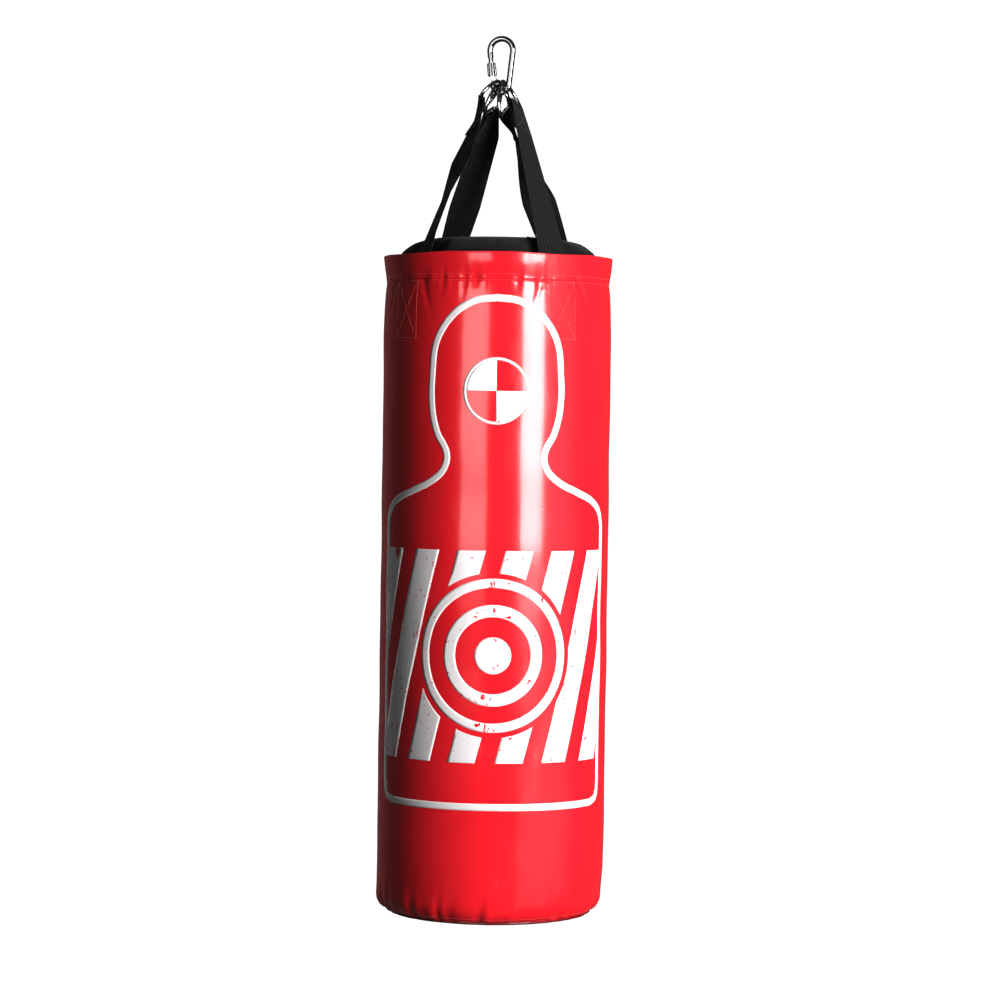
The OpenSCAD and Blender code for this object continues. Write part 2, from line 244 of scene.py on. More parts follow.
def thickened(piece, thick):
    """A plain copy of a sheet, given a thickness down from its upper face."""
    modifier = piece.modifiers.new("Thickness", "SOLIDIFY")
    modifier.thickness = thick
    modifier.offset = -1
    return evaluated_copy(piece, piece.name)


def flip_where(piece, wrong, merge=False):
    """Reverses the faces for which wrong(face) holds, after merging doubled points if asked."""
    bm = bmesh.new()
    bm.from_mesh(piece.data)
    if merge:
        bmesh.ops.remove_doubles(bm, verts=bm.verts, dist=1e-6)
    bm.normal_update()
    bmesh.ops.reverse_faces(bm, faces=[face for face in bm.faces if wrong(face)])
    bm.to_mesh(piece.data)
    bm.free()
    return piece


def join_pieces(name, pieces):
    """One piece from several that share a material and a body."""
    with bpy.context.temp_override(active_object=pieces[0], object=pieces[0],
                                   selected_editable_objects=pieces):
        bpy.ops.object.join()
    pieces[0].name = name
    pieces[0].data.name = name
    return pieces[0]


def finish_piece(piece, material, body=None, replaces=()):
    """Gives a piece its finish, hides the frame's pieces that it replaces, and sets the body that
    it rides on.
    """
    piece.data.materials.clear()
    piece.data.materials.append(material)
    if replaces:
        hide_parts(*replaces)
    if body:
        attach(piece, body)
    return piece


def unit(v):
    """The vector at length 1."""
    return v / np.linalg.norm(v)


def smooth_step(x):
    """0 up to x = 0, 1 from x = 1, and a soft rise between."""
    x = np.clip(x, 0, 1)
    return x * x * (3 - 2 * x)


def bearing_gap(theta, at):
    """From one bearing to another the short way round, within half a turn either way."""
    return (theta - at + math.pi) % TAU - math.pi


def smooth_path(corners, step):
    """A curve through the corner points, with points about a step apart."""
    c = np.array(corners, float)
    c = np.vstack([2 * c[0] - c[1], c, 2 * c[-1] - c[-2]])
    points = []
    for a, b, d, e in zip(c, c[1:], c[2:], c[3:]):
        gaps = [max(math.sqrt(np.linalg.norm(q - p)), 1e-6) for p, q in ((a, b), (b, d), (d, e))]
        m1 = (d - b) + gaps[1] * ((b - a) / gaps[0] - (d - a) / (gaps[0] + gaps[1]))
        m2 = (d - b) + gaps[1] * ((e - d) / gaps[2] - (e - b) / (gaps[1] + gaps[2]))
        n = max(1, round(np.linalg.norm(d - b) / step))
        for t in np.arange(n) / n:
            points.append((2 * t**3 - 3 * t**2 + 1) * b + (t**3 - 2 * t**2 + t) * m1
                          + (3 * t**2 - 2 * t**3) * d + (t**3 - t**2) * m2)
    points.append(c[-2])
    return np.array(points)


# ---- the shell's surface ------------------------------------------------------------------

BEARINGS = np.arange(2880) * TAU / 2880
# Rounding of the shell into its base seam
CORNER_R = 26 * MM
CORNER_ANGLE = math.radians(60)
SKIN_T = 1.5 * MM
# Points round the shell, the collar and the piping
COLUMNS = 320
# How far the gathers run down from the top seam and up from the base seam
TOP_GATHER_H = 11 * MM
BASE_GATHER_H = 24 * MM
# Where the filling doesn't quite reach into the base's corner: bearing in radians, depth, height
LOW_CORNER_AT = 1.75
LOW_CORNER_DEPTH = 5.5 * MM
LOW_CORNER_H = 62 * MM
# Slanting folds beside each strap: depth, width, lean, middle below the seam and reach
FOLD_DEPTH = 1.3 * MM
FOLD_WIDTH = 4.2 * MM
FOLD_LEAN = 0.35
FOLD_MIDDLE = 12 * MM
FOLD_REACH = 26 * MM


def pleat_table(seed, count, width):
    """How far a gathered seam is drawn in, round the bag, from random pleats."""
    rng = random.Random(seed)
    table = np.zeros_like(BEARINGS)
    for k in range(count):
        centre = TAU * (k + rng.uniform(-0.42, 0.42)) / count
        spread = rng.uniform(0.55, 1.5) * width / BAG_R
        gap = bearing_gap(BEARINGS, centre)
        table += rng.choice((1, 1, -0.6)) * rng.uniform(0.25, 1) * np.exp(-(gap / spread) ** 2)
    return table - table.mean()


def round_lookup(table, theta):
    """The table's value at any bearing."""
    return np.interp(theta % TAU, np.append(BEARINGS, TAU), np.append(table, table[0]))


TOP_PLEATS = pleat_table(11, 72, 3.4 * MM)
TOP_REACH = pleat_table(12, 40, 11 * MM)
BASE_PLEATS = pleat_table(13, 40, 7.5 * MM)


def skin_line():
    """Outer line of the shell: (radius, height) from the top seam to the base seam."""
    top = [(BAG_R - 4.5 * MM, 0), (BAG_R - 3.2 * MM, 5 * MM), (BAG_R - 1.7 * MM, 16 * MM),
           (BAG_R - 0.6 * MM, 36 * MM), (BAG_R, 72 * MM)]
    line = [(r, SEAM_Z - d) for r, d in top]
    centre_z = BASE_Z + CORNER_R * math.sin(CORNER_ANGLE)
    line += [(BAG_R - CORNER_R + CORNER_R * math.cos(a), centre_z - CORNER_R * math.sin(a))
             for a in np.linspace(0, CORNER_ANGLE, 11)]
    return np.array(line)


SKIN = skin_line()


def skin_rows():
    """Heights of the shell mesh's rows, closer where the cloth is gathered."""
    gathers_z, corner_z = SEAM_Z - 40 * MM, BASE_Z + 60 * MM
    return np.concatenate([np.linspace(SEAM_Z, gathers_z, 30),
                           np.linspace(gathers_z, corner_z, 175)[1:],
                           np.linspace(corner_z, BASE_Z, 44)[1:]])


def low_corner(theta):
    """1 where the base's corner is least full, falling to 0 on the other side of the bag."""
    return (0.5 + 0.5 * np.cos(theta - LOW_CORNER_AT)) ** 3


def relief(theta, z):
    """How far the shell stands out or in at a bearing and height."""
    sizes = bpy.context.scene.bag_sizes
    down, up = SEAM_Z - z, z - BASE_Z
    reach = TOP_GATHER_H * np.clip(1 + 0.8 * round_lookup(TOP_REACH, theta), 0.45, 2.4)
    out = -sizes.pleat_depth * round_lookup(TOP_PLEATS, theta + 0.5 * down) * np.exp(
        -(down / reach) ** 1.6)
    out = out - sizes.base_pleat_depth * round_lookup(BASE_PLEATS, theta - 0.9 * up) * np.exp(
        -((up / BASE_GATHER_H) ** 1.7)) * smooth_step(up / (2 * MM) + 0.3)
    # The filling settles: long soft waves, and a low corner that isn't quite full
    out = out + sizes.slack * (
        np.sin(z * TAU / 0.19 + 1.1 * np.sin(theta + 0.6)) * np.cos(theta * 2 + 0.8) * 0.55
        + np.sin(z * TAU / 0.11 + 2.0 + 2 * theta) * 0.28
        + np.sin(3 * theta + 5 * z) * 0.3) * smooth_step(down / (50 * MM))
    out = out - LOW_CORNER_DEPTH * low_corner(theta) * smooth_step(1 - up / LOW_CORNER_H)
    # The straps pull slanting folds out of the cloth beside each sewn end
    for at in STRAP_AT:
        for side in (-1, 1):
            start = math.radians(at) + side * (STRAP_W / 2 + 5 * MM) / BAG_R
            gap = bearing_gap(theta, start + side * down * FOLD_LEAN / BAG_R) * BAG_R
            out = out - FOLD_DEPTH * np.exp(-(gap / FOLD_WIDTH) ** 2) * np.exp(
                -((down - FOLD_MIDDLE) / FOLD_REACH) ** 2)
    return out


def skin_radius(theta, z):
    """Radius of the shell's outer face at a bearing and height."""
    return np.interp(-z, -SKIN[:, 1], SKIN[:, 0]) + relief(theta, z)


def on_skin(across, z, lift):
    """Points on the shell: distance round from the front towards +X, height, and lift."""
    theta = np.asarray(across, float) / BAG_R
    z = np.asarray(z, float) + 0 * theta
    r = skin_radius(theta, z) + lift
    return np.stack([r * np.sin(theta), -r * np.cos(theta), z], -1)


# ---- materials ----------------------------------------------------------------------------

class Recipe:
    """Builds one node material."""

    def __init__(self, name, base, roughness, **sockets):
        self.material = bpy.data.materials.new(name)
        self.material.use_nodes = True
        self.nodes = self.material.node_tree.nodes
        self.links = self.material.node_tree.links
        self.shader = self.nodes["Principled BSDF"]
        self.shader.inputs["Base Color"].default_value = (*base, 1)
        self.shader.inputs["Roughness"].default_value = roughness
        for socket, value in sockets.items():
            self.shader.inputs[socket.replace("_", " ")].default_value = value
        coords = self.nodes.new("ShaderNodeTexCoord")
        self.place = coords.outputs["Object"]
        self.normal = None

    def link(self, source, target):
        self.links.new(source, target)

    def mapped(self, stretch, offset=(0, 0, 0)):
        """The piece's own coordinates, stretched and shifted."""
        mapping = self.nodes.new("ShaderNodeMapping")
        mapping.inputs["Scale"].default_value = stretch
        mapping.inputs["Location"].default_value = offset
        self.link(self.place, mapping.inputs["Vector"])
        return mapping.outputs["Vector"]

    def noise(self, scale, detail=3.0, stretch=(1, 1, 1), offset=(0, 0, 0), rough=0.55):
        """Cloudy noise, 0 to 1."""
        noise = self.nodes.new("ShaderNodeTexNoise")
        noise.inputs["Scale"].default_value = scale
        noise.inputs["Detail"].default_value = detail
        noise.inputs["Roughness"].default_value = rough
        self.link(self.mapped(stretch, offset), noise.inputs["Vector"])
        return noise.outputs["Fac"]

    def cells(self, scale, stretch=(1, 1, 1)):
        """Distance from the nearest of many scattered points."""
        cells = self.nodes.new("ShaderNodeTexVoronoi")
        cells.inputs["Scale"].default_value = scale
        self.link(self.mapped(stretch), cells.inputs["Vector"])
        return cells.outputs["Distance"]

    def ramp(self, source, low, high, out_low=0.0, out_high=1.0):
        """The source between low and high, spread over the outputs."""
        node = self.nodes.new("ShaderNodeMapRange")
        node.inputs["From Min"].default_value = low
        node.inputs["From Max"].default_value = high
        node.inputs["To Min"].default_value = out_low
        node.inputs["To Max"].default_value = out_high
        self.link(source, node.inputs["Value"])
        return node.outputs["Result"]

    def math(self, operation, a, b=None):
        """Arithmetic on one or two numbers or sockets."""
        node = self.nodes.new("ShaderNodeMath")
        node.operation = operation
        for socket, value in zip(node.inputs, (a, b)):
            if isinstance(value, (int, float)):
                socket.default_value = value
            elif value is not None:
                self.link(value, socket)
        return node.outputs["Value"]

    def mix(self, factor, a, b):
        """Colour a where the factor is 0, b where it is 1."""
        node = self.nodes.new("ShaderNodeMix")
        node.data_type = "RGBA"
        self.link(factor, node.inputs["Factor"])
        colour_sockets = [s for s in node.inputs if s.type == "RGBA"]
        for socket, value in zip(colour_sockets, (a, b)):
            if isinstance(value, bpy.types.NodeSocket):
                self.link(value, socket)
            else:
                socket.default_value = (*value, 1)
        return [s for s in node.outputs if s.type == "RGBA"][0]

    def colour(self, source):
        self.link(source, self.shader.inputs["Base Color"])

    def roughness(self, source):
        self.link(source, self.shader.inputs["Roughness"])

    def bump(self, source, distance, strength):
        """Adds relief of a height in metres; several are laid one on the other."""
        node = self.nodes.new("ShaderNodeBump")
        node.inputs["Strength"].default_value = strength
        node.inputs["Distance"].default_value = distance
        self.link(source, node.inputs["Height"])
        if self.normal:
            self.link(self.normal, node.inputs["Normal"])
        self.normal = node.outputs["Normal"]
        self.link(self.normal, self.shader.inputs["Normal"])

    def axis(self, which, place=None):
        """One coordinate of the piece's own, or of another place."""
        node = self.nodes.new("ShaderNodeSeparateXYZ")
        self.link(place or self.place, node.inputs["Vector"])
        return node.outputs[which]

    def wave(self, source, period):
        """A smooth ridge along the source, -1 to 1, with that period."""
        return self.math("SINE", self.math("MULTIPLY", source, TAU / period))


def shade(rgb, factor):
    """The colour made darker or lighter."""
    return tuple(c * factor for c in rgb)


def vinyl_material(name, base, roughness):
    """Glossy coated cloth: a faint calendered grain, soft dents, and scuffs that dull it."""
    m = Recipe(name, base, roughness, Coat_Weight=0.35, Coat_Roughness=0.08, IOR=1.5)
    drift = m.noise(5.0, 3)
    m.colour(m.mix(m.ramp(drift, 0.35, 0.7), base, shade(base, 0.86)))
    scuffs = m.ramp(m.noise(42.0, 6, stretch=(1, 1, 0.35), offset=(3, 1, 0)), 0.56, 0.74)
    m.roughness(m.ramp(scuffs, 0, 1, roughness, roughness + 0.14))
    m.bump(m.noise(16.0, 2), 0.9 * MM, 0.5)
    m.bump(m.noise(70.0, 3), 0.12 * MM, 0.5)
    m.bump(m.cells(1300.0), 0.03 * MM, 0.35)
    return m.material


def ink_material(name, ink, vinyl, chips):
    """White ink on the vinyl, with chips and scratches that show the red under it."""
    m = Recipe(name, ink, 0.2, Coat_Weight=0.35, Coat_Roughness=0.08, IOR=1.5)
    faded = m.mix(m.ramp(m.noise(9.0, 4), 0.3, 0.75), ink, shade(ink, 0.9))
    blots = m.ramp(m.noise(120.0, 5, offset=(7, 2, 5)), 0.70 - chips, 0.715 - chips)
    cracks = m.ramp(m.noise(34.0, 8, stretch=(2.6, 2.6, 0.5), offset=(1, 4, 2), rough=0.7),
                    0.685 - chips, 0.70 - chips)
    worn = m.math("MAXIMUM", blots, cracks)
    m.colour(m.mix(worn, faded, shade(vinyl, 0.8)))
    m.bump(m.noise(16.0, 2), 0.9 * MM, 0.5)
    m.bump(worn, -0.04 * MM, 0.6)
    return m.material


def webbing_material(name, base):
    """Heavy woven strap: ribs along it and a chevron of picks across."""
    m = Recipe(name, base, 0.62, Sheen_Weight=0.05, Sheen_Roughness=0.45, IOR=1.36)
    m.shader.inputs["Sheen Tint"].default_value = (0.35, 0.35, 0.38, 1)
    uv = m.nodes.new("ShaderNodeUVMap")
    uv.uv_map = "Webbing"
    across, along = m.axis("X", uv.outputs["UV"]), m.axis("Y", uv.outputs["UV"])
    rib = m.wave(across, 3.0 * MM)
    chevron = m.math("ABSOLUTE", m.math("SUBTRACT", m.math("PINGPONG", across, 6 * MM), 3 * MM))
    picks = m.wave(m.math("ADD", along, chevron), 1.6 * MM)
    weave = m.math("ADD", m.math("MULTIPLY", rib, 0.45), picks)
    m.bump(weave, 0.22 * MM, 0.8)
    fuzz = m.noise(900.0, 4)
    m.bump(fuzz, 0.08 * MM, 0.5)
    # Painted shade in the weave's grooves and painted highlight on its ridges: the colour follows
    # the weave's height, darker where it is low.
    m.colour(m.mix(m.ramp(weave, -0.9, 1.2), shade(base, 0.5), shade(base, 2.4)))
    m.roughness(m.ramp(fuzz, 0.3, 0.7, 0.55, 0.75))
    return m.material


def cloth_material(name, base, period):
    """Plain-woven synthetic cloth in the two level directions, with threads of that period."""
    m = Recipe(name, base, 0.7, Sheen_Weight=0.04, Sheen_Roughness=0.5, IOR=1.34)
    weave = m.math("MULTIPLY", m.wave(m.axis("X"), period), m.wave(m.axis("Y"), period))
    m.bump(weave, 0.1 * MM, 0.6)
    m.bump(m.noise(35.0, 4), 1.2 * MM, 0.5)
    m.colour(m.mix(m.ramp(m.noise(60.0, 5), 0.35, 0.7), base, shade(base, 1.9)))
    m.roughness(m.ramp(weave, -1, 1, 0.62, 0.8))
    return m.material


def thread_material(name, base):
    """Twisted sewing thread."""
    m = Recipe(name, base, 0.45, Sheen_Weight=0.2, IOR=1.5)
    m.colour(m.mix(m.ramp(m.noise(700.0, 3), 0.3, 0.7), base, shade(base, 0.7)))
    m.bump(m.noise(1800.0, 2), 0.05 * MM, 0.6)
    return m.material


def plated_material(name, base, roughness, wear):
    """Bright plated steel: rolled-wire waviness, fine scratches and a few dull patches."""
    m = Recipe(name, base, roughness, Metallic=1.0)
    dull = m.ramp(m.noise(90.0, 6), 0.45, 0.75)
    m.roughness(m.ramp(dull, 0, 1, roughness, roughness + wear))
    specks = m.ramp(m.noise(260.0, 5, offset=(5, 5, 5)), 0.55, 0.8)
    m.colour(m.mix(specks, base, shade(base, 0.62)))
    m.bump(m.noise(55.0, 2), 0.1 * MM, 0.5)
    m.bump(m.noise(900.0, 3, stretch=(1, 1, 0.12)), 0.01 * MM, 0.4)
    return m.material


def foam_material(name, base):
    """Open-cell foam."""
    m = Recipe(name, base, 0.9)
    pores = m.cells(420.0)
    m.bump(pores, 0.8 * MM, 0.7)
    # Painted shade in the pores: the colour is darkest in the dents of the bump.
    m.colour(m.mix(m.ramp(pores, 0.1, 0.6), shade(base, 0.55), base))
    return m.material


def shred_material(name, base):
    """Packed textile shreds in mixed greys."""
    m = Recipe(name, base, 0.95)
    shreds = m.cells(75.0, stretch=(1, 1, 2.4))
    m.bump(shreds, 4 * MM, 0.8)
    tint = m.mix(m.ramp(m.noise(30.0, 5), 0.35, 0.65), base, (0.28, 0.2, 0.17))
    m.colour(m.mix(m.ramp(shreds, 0.1, 0.7), tint, shade(base, 0.4)))
    return m.material


def moulded_material(name, base):
    """Moulded plastic, as on zip teeth."""
    m = Recipe(name, base, 0.4, IOR=1.48)
    m.colour(m.mix(m.ramp(m.noise(300.0, 3), 0.4, 0.7), base, shade(base, 1.6)))
    m.bump(m.noise(600.0, 3), 0.05 * MM, 0.5)
    return m.material


MATERIALS = {}


def finish(name):
    """The material of that name, made the first time that it is asked for."""
    if name not in MATERIALS:
        c = bpy.context.scene.bag_finishes
        maker, *settings = {
            "vinyl": (vinyl_material, c.vinyl, 0.17),
            "base_vinyl": (vinyl_material, shade(c.vinyl, 0.8), 0.3),
            "piping": (vinyl_material, shade(c.vinyl, 0.16), 0.35),
            "ink": (ink_material, c.ink, c.vinyl, 0.0),
            "worn_ink": (ink_material, c.ink, c.vinyl, 0.055),
            "webbing": (webbing_material, c.webbing),
            "cover": (cloth_material, c.cover, 1.1 * MM),
            "zip_cloth": (cloth_material, (0.01, 0.01, 0.011), 0.7 * MM),
            "thread": (thread_material, c.thread),
            "seam_thread": (thread_material, c.seam_thread),
            "black_thread": (thread_material, (0.018, 0.018, 0.02)),
            "chrome": (plated_material, shade(c.steel, 0.46), 0.05, 0.06),
            "ring_steel": (plated_material, shade(c.steel, 0.56), 0.08, 0.1),
            "pin_steel": (plated_material, shade(c.steel, 0.5), 0.3, 0.2),
            "spring_steel": (plated_material, shade(c.steel, 0.6), 0.25, 0.1),
            "zip_metal": (plated_material, shade(c.steel, 0.85), 0.25, 0.15),
            "foam": (foam_material, (0.62, 0.5, 0.22)),
            "filling": (shred_material, (0.16, 0.18, 0.2)),
            "zip_teeth": (moulded_material, (0.012, 0.012, 0.013)),
        }[name]
        MATERIALS[name] = maker(name, *settings)
    return MATERIALS[name]


# ---- geometry node trees ------------------------------------------------------------------

class Tree:
    """A geometry node tree with a material and named inputs, set later by identifier."""

    def __init__(self, name, **inputs):
        self.group = bpy.data.node_groups.new(name, "GeometryNodeTree")
        self.identifiers = {}
        self.entry = self.group.nodes.new("NodeGroupInput")
        self.exit = self.group.nodes.new("NodeGroupOutput")
        self.group.interface.new_socket("Geometry", in_out="OUTPUT",
                                        socket_type="NodeSocketGeometry")
        for key, kind in {"Geometry": "Geometry", "Material": "Material", **inputs}.items():
            socket = self.group.interface.new_socket(key, in_out="INPUT",
                                                     socket_type="NodeSocket" + kind)
            self.identifiers[key] = socket.identifier

    def node(self, kind, settings=None, **inputs):
        """Adds a node, with its settings and with sockets linked or set by name."""
        node = self.group.nodes.new(kind)
        for key, value in (settings or {}).items():
            setattr(node, key, value)
        for key, value in inputs.items():
            socket = node.inputs[key.replace("_", " ")]
            if isinstance(value, bpy.types.NodeSocket):
                self.group.links.new(value, socket)
            else:
                socket.default_value = value
        return node

    def value(self, name):
        """The socket that brings in an input."""
        return self.entry.outputs[name]

    def scaled(self, source, factor):
        """A number times a constant."""
        node = self.node("ShaderNodeMath", {"operation": "MULTIPLY"})
        self.group.links.new(source, node.inputs[0])
        node.inputs[1].default_value = factor
        return node.outputs[0]

    def end(self, geometry):
        """Realizes what was made and gives it the material input."""
        real = self.node("GeometryNodeRealizeInstances", Geometry=geometry)
        smooth = self.node("GeometryNodeSetShadeSmooth", Geometry=real.outputs["Geometry"])
        painted = self.node("GeometryNodeSetMaterial", Geometry=smooth.outputs["Geometry"],
                            Material=self.value("Material"))
        self.group.links.new(painted.outputs["Geometry"], self.exit.inputs["Geometry"])

    def apply(self, name, source, values):
        """The plain mesh that the tree makes from a source piece, which is removed."""
        modifier = source.modifiers.new(self.group.name, "NODES")
        modifier.node_group = self.group
        for key, value in values.items():
            modifier[self.identifiers[key]] = value
        return evaluated_copy(source, name)


def stitch_tree():
    """Stitches along every edge line of the source mesh."""
    t = Tree("Stitches", Stitch="Float", Pitch="Float", Thread="Float")
    line = t.node("GeometryNodeMeshToCurve", Mesh=t.value("Geometry"))
    points = t.node("GeometryNodeResampleCurve", {"mode": "LENGTH"}, Curve=line.outputs["Curve"],
                    Length=t.value("Pitch"))
    tangent = t.node("GeometryNodeInputTangent")
    turn = t.node("FunctionNodeAlignRotationToVector", {"axis": "Z"},
                  Vector=tangent.outputs["Tangent"])
    grain = t.node("GeometryNodeMeshUVSphere", Segments=6, Rings=4, Radius=0.5)
    size = t.node("ShaderNodeCombineXYZ", X=t.value("Thread"), Y=t.value("Thread"),
                  Z=t.value("Stitch"))
    placed = t.node("GeometryNodeInstanceOnPoints", Points=points.outputs["Curve"],
                    Instance=grain.outputs["Mesh"], Rotation=turn.outputs["Rotation"],
                    Scale=size.outputs["Vector"])
    t.end(placed.outputs["Instances"])
    return t


def zip_tree():
    """A row of moulded teeth along X, each a block with a rounded head."""
    t = Tree("Zip teeth", Pitch="Float", Width="Float", Height="Float", Count="Int",
             Start="Vector")
    thick = t.scaled(t.value("Pitch"), 0.42)
    block = t.node("ShaderNodeCombineXYZ", X=thick, Y=t.value("Width"), Z=t.value("Height"))
    foot = t.node("GeometryNodeMeshCube", Size=block.outputs["Vector"])
    head = t.node("GeometryNodeMeshCylinder", Vertices=10, Radius=t.scaled(thick, 0.62),
                  Depth=t.value("Height"))
    forward = t.node("ShaderNodeCombineXYZ", Y=t.scaled(t.value("Width"), 0.36))
    moved = t.node("GeometryNodeTransform", Geometry=head.outputs["Mesh"],
                   Translation=forward.outputs["Vector"])
    tooth = t.node("GeometryNodeJoinGeometry")
    t.group.links.new(foot.outputs["Mesh"], tooth.inputs["Geometry"])
    t.group.links.new(moved.outputs["Geometry"], tooth.inputs["Geometry"])
    step = t.node("ShaderNodeCombineXYZ", X=t.value("Pitch"))
    row = t.node("GeometryNodeMeshLine", Count=t.value("Count"), Start_Location=t.value("Start"),
                 Offset=step.outputs["Vector"])
    teeth = t.node("GeometryNodeInstanceOnPoints", Points=row.outputs["Mesh"],
                   Instance=tooth.outputs["Geometry"])
    t.end(teeth.outputs["Instances"])
    return t


def spring_tree():
    """A wire coil standing on the origin."""
    t = Tree("Coil", Radius="Float", Height="Float", Wire="Float", Turns="Float")
    coil = t.node("GeometryNodeCurveSpiral", Resolution=16, Rotations=t.value("Turns"),
                  Start_Radius=t.value("Radius"), End_Radius=t.value("Radius"),
                  Height=t.value("Height"))
    wire = t.node("GeometryNodeCurvePrimitiveCircle", Resolution=8, Radius=t.value("Wire"))
    body = t.node("GeometryNodeCurveToMesh", Curve=coil.outputs["Curve"],
                  Profile_Curve=wire.outputs["Curve"], Fill_Caps=True)
    t.end(body.outputs["Mesh"])
    return t


def line_mesh(name, lines):
    """A piece of bare edges along each line of points."""
    points, edges = [], []
    for line in lines:
        start = len(points)
        points += [tuple(p) for p in line]
        edges += [(start + k, start + k + 1) for k in range(len(line) - 1)]
    mesh = bpy.data.meshes.new(name)
    mesh.from_pydata(points, edges, [])
    return add_object(name, mesh)


STITCHES = []


def sew(name, lines, material, body=None):
    """Stitches along lines of points, as one piece."""
    if not STITCHES:
        STITCHES.append(stitch_tree())
    sizes = bpy.context.scene.bag_sizes
    piece = STITCHES[0].apply(name, line_mesh(name + "_lines", lines), {
        "Stitch": sizes.stitch, "Pitch": sizes.stitch_pitch, "Thread": sizes.thread,
        "Material": finish(material)})
    return finish_piece(piece, finish(material), body)


# ---- operators: the bag -------------------------------------------------------------------

class BAG_OT_shell(bpy.types.Operator):
    """Build the vinyl shell with its gathered top seam and base"""
    bl_idname = "bag.shell"
    bl_label = "Shell"

    def execute(self, context):
        rows = skin_rows()
        outer = [(float(np.interp(-z, -SKIN[:, 1], SKIN[:, 0])), z) for z in rows]
        inner = [(r - SKIN_T, z) for r, z in reversed(outer[::9] + [outer[-1]])]

        def shape(theta, r, z):
            return r + relief(theta, z), z

        shell = lathe("shell_skin", outer + inner, COLUMNS, shape, loop=True)
        finish_piece(shell, finish("vinyl"), "bag", ("shell",))
        return {"FINISHED"}


def collar_r(share):
    """Radius of the collar's outer face, a share of the way from its seam to its rim."""
    return COLLAR_FOOT_R + (COLLAR_RIM_R - COLLAR_FOOT_R) * share**1.5


def collar_shape(theta, z):
    """How far the collar waves: gathered at its seam, soft at its rim, and the rim's height."""
    share = np.clip((z - SEAM_Z) / (RIM_Z - SEAM_Z), 0, 1)
    sizes = bpy.context.scene.bag_sizes
    gather = -sizes.pleat_depth * round_lookup(TOP_PLEATS, theta) * np.exp(-share * 4.5)
    rim = 1.1 * MM * (np.sin(3 * theta + 0.6) * 0.6 + np.sin(7 * theta + 2.0) * 0.4) * share
    billow = 1.0 * MM * np.sin(math.pi * share) * (1 + 0.6 * np.sin(5 * theta + 1.3))
    height = 1.3 * MM * (np.sin(4 * theta + 2.4) * 0.6 + np.sin(9 * theta) * 0.3) * share
    return gather + rim + billow, height


class BAG_OT_collar(bpy.types.Operator):
    """Build the collar above the seam, with its turned rim"""
    bl_idname = "bag.collar"
    bl_label = "Collar"

    def execute(self, context):
        wall, turn_z = 2 * MM, RIM_Z - 1.2 * MM
        turn_r = COLLAR_RIM_R - wall / 2
        outer = [(collar_r(s), turn_z - (1 - s) * (RIM_Z - SEAM_Z)) for s in np.linspace(0, 1, 26)]
        inner = [(r - wall, z) for r, z in outer[::3]]
        fold = [(turn_r + wall * 0.62 * math.cos(a), turn_z + wall * 0.6 * math.sin(a))
                for a in np.linspace(0.3, 2.8, 7)]

        def shape(theta, r, z):
            out, height = collar_shape(theta, z)
            return r + out, z + height

        collar = lathe("collar", inner + fold[::-1] + outer[::-1], COLUMNS, shape, loop=True)
        finish_piece(collar, finish("vinyl"), "bag", ("hem_band",))
        return {"FINISHED"}


class BAG_OT_base(bpy.types.Operator):
    """Build the base panel and the piping in its seam"""
    bl_idname = "bag.base"
    bl_label = "Base"

    def execute(self, context):
        edge_r, edge_z, thick = PANEL_HI.x, PANEL_HI.z - SETTLE, 2 * MM
        sag = PANEL_HI.z - PANEL_LO.z - thick
        lower = [(edge_r * s, edge_z - thick - sag * (1 - s**2.6)) for s in np.linspace(0, 1, 30)]
        upper = [(r, z + thick) for r, z in lower]

        def settle(theta, r, z):
            near = smooth_step((r / edge_r - 0.72) / 0.28)
            pleats = round_lookup(BASE_PLEATS, theta) * near * 1.1 * MM
            soft = np.sin(3 * theta + r * 40) * np.sin(r / edge_r * math.pi) * 1.2 * MM
            return r, z + pleats + soft

        panel = lathe("base_panel", upper + lower[::-1], 240, settle)
        finish_piece(panel, finish("base_vinyl"), "bag", ("bottom_panel",))
        cord_r = (PIPING_HI.z - PIPING_LO.z) / 2
        ring_r, ring_z = PIPING_HI.x - cord_r, (PIPING_HI.z + PIPING_LO.z) / 2 - SETTLE
        section = [(ring_r + cord_r * math.cos(a), ring_z - cord_r * math.sin(a))
                   for a in np.arange(14) * TAU / 14]

        def follow(theta, r, z):
            pleats = round_lookup(BASE_PLEATS, theta) * 1.4 * MM
            return r - 4 * MM * low_corner(theta) - pleats, z

        piping = lathe("base_piping", section, COLUMNS, follow, loop=True)
        finish_piece(piping, finish("piping"), "bag", ("bottom_piping",))
        return {"FINISHED"}


def strap_near(theta, reach):
    """1 where a strap passes the cover, falling to 0 beyond the reach on either side."""
    near = np.zeros_like(theta)
    for at in STRAP_AT:
        gap = np.abs(bearing_gap(theta, math.radians(at))) * BAG_R
        near = np.maximum(near, np.exp(-(gap / reach) ** 4))
    return near


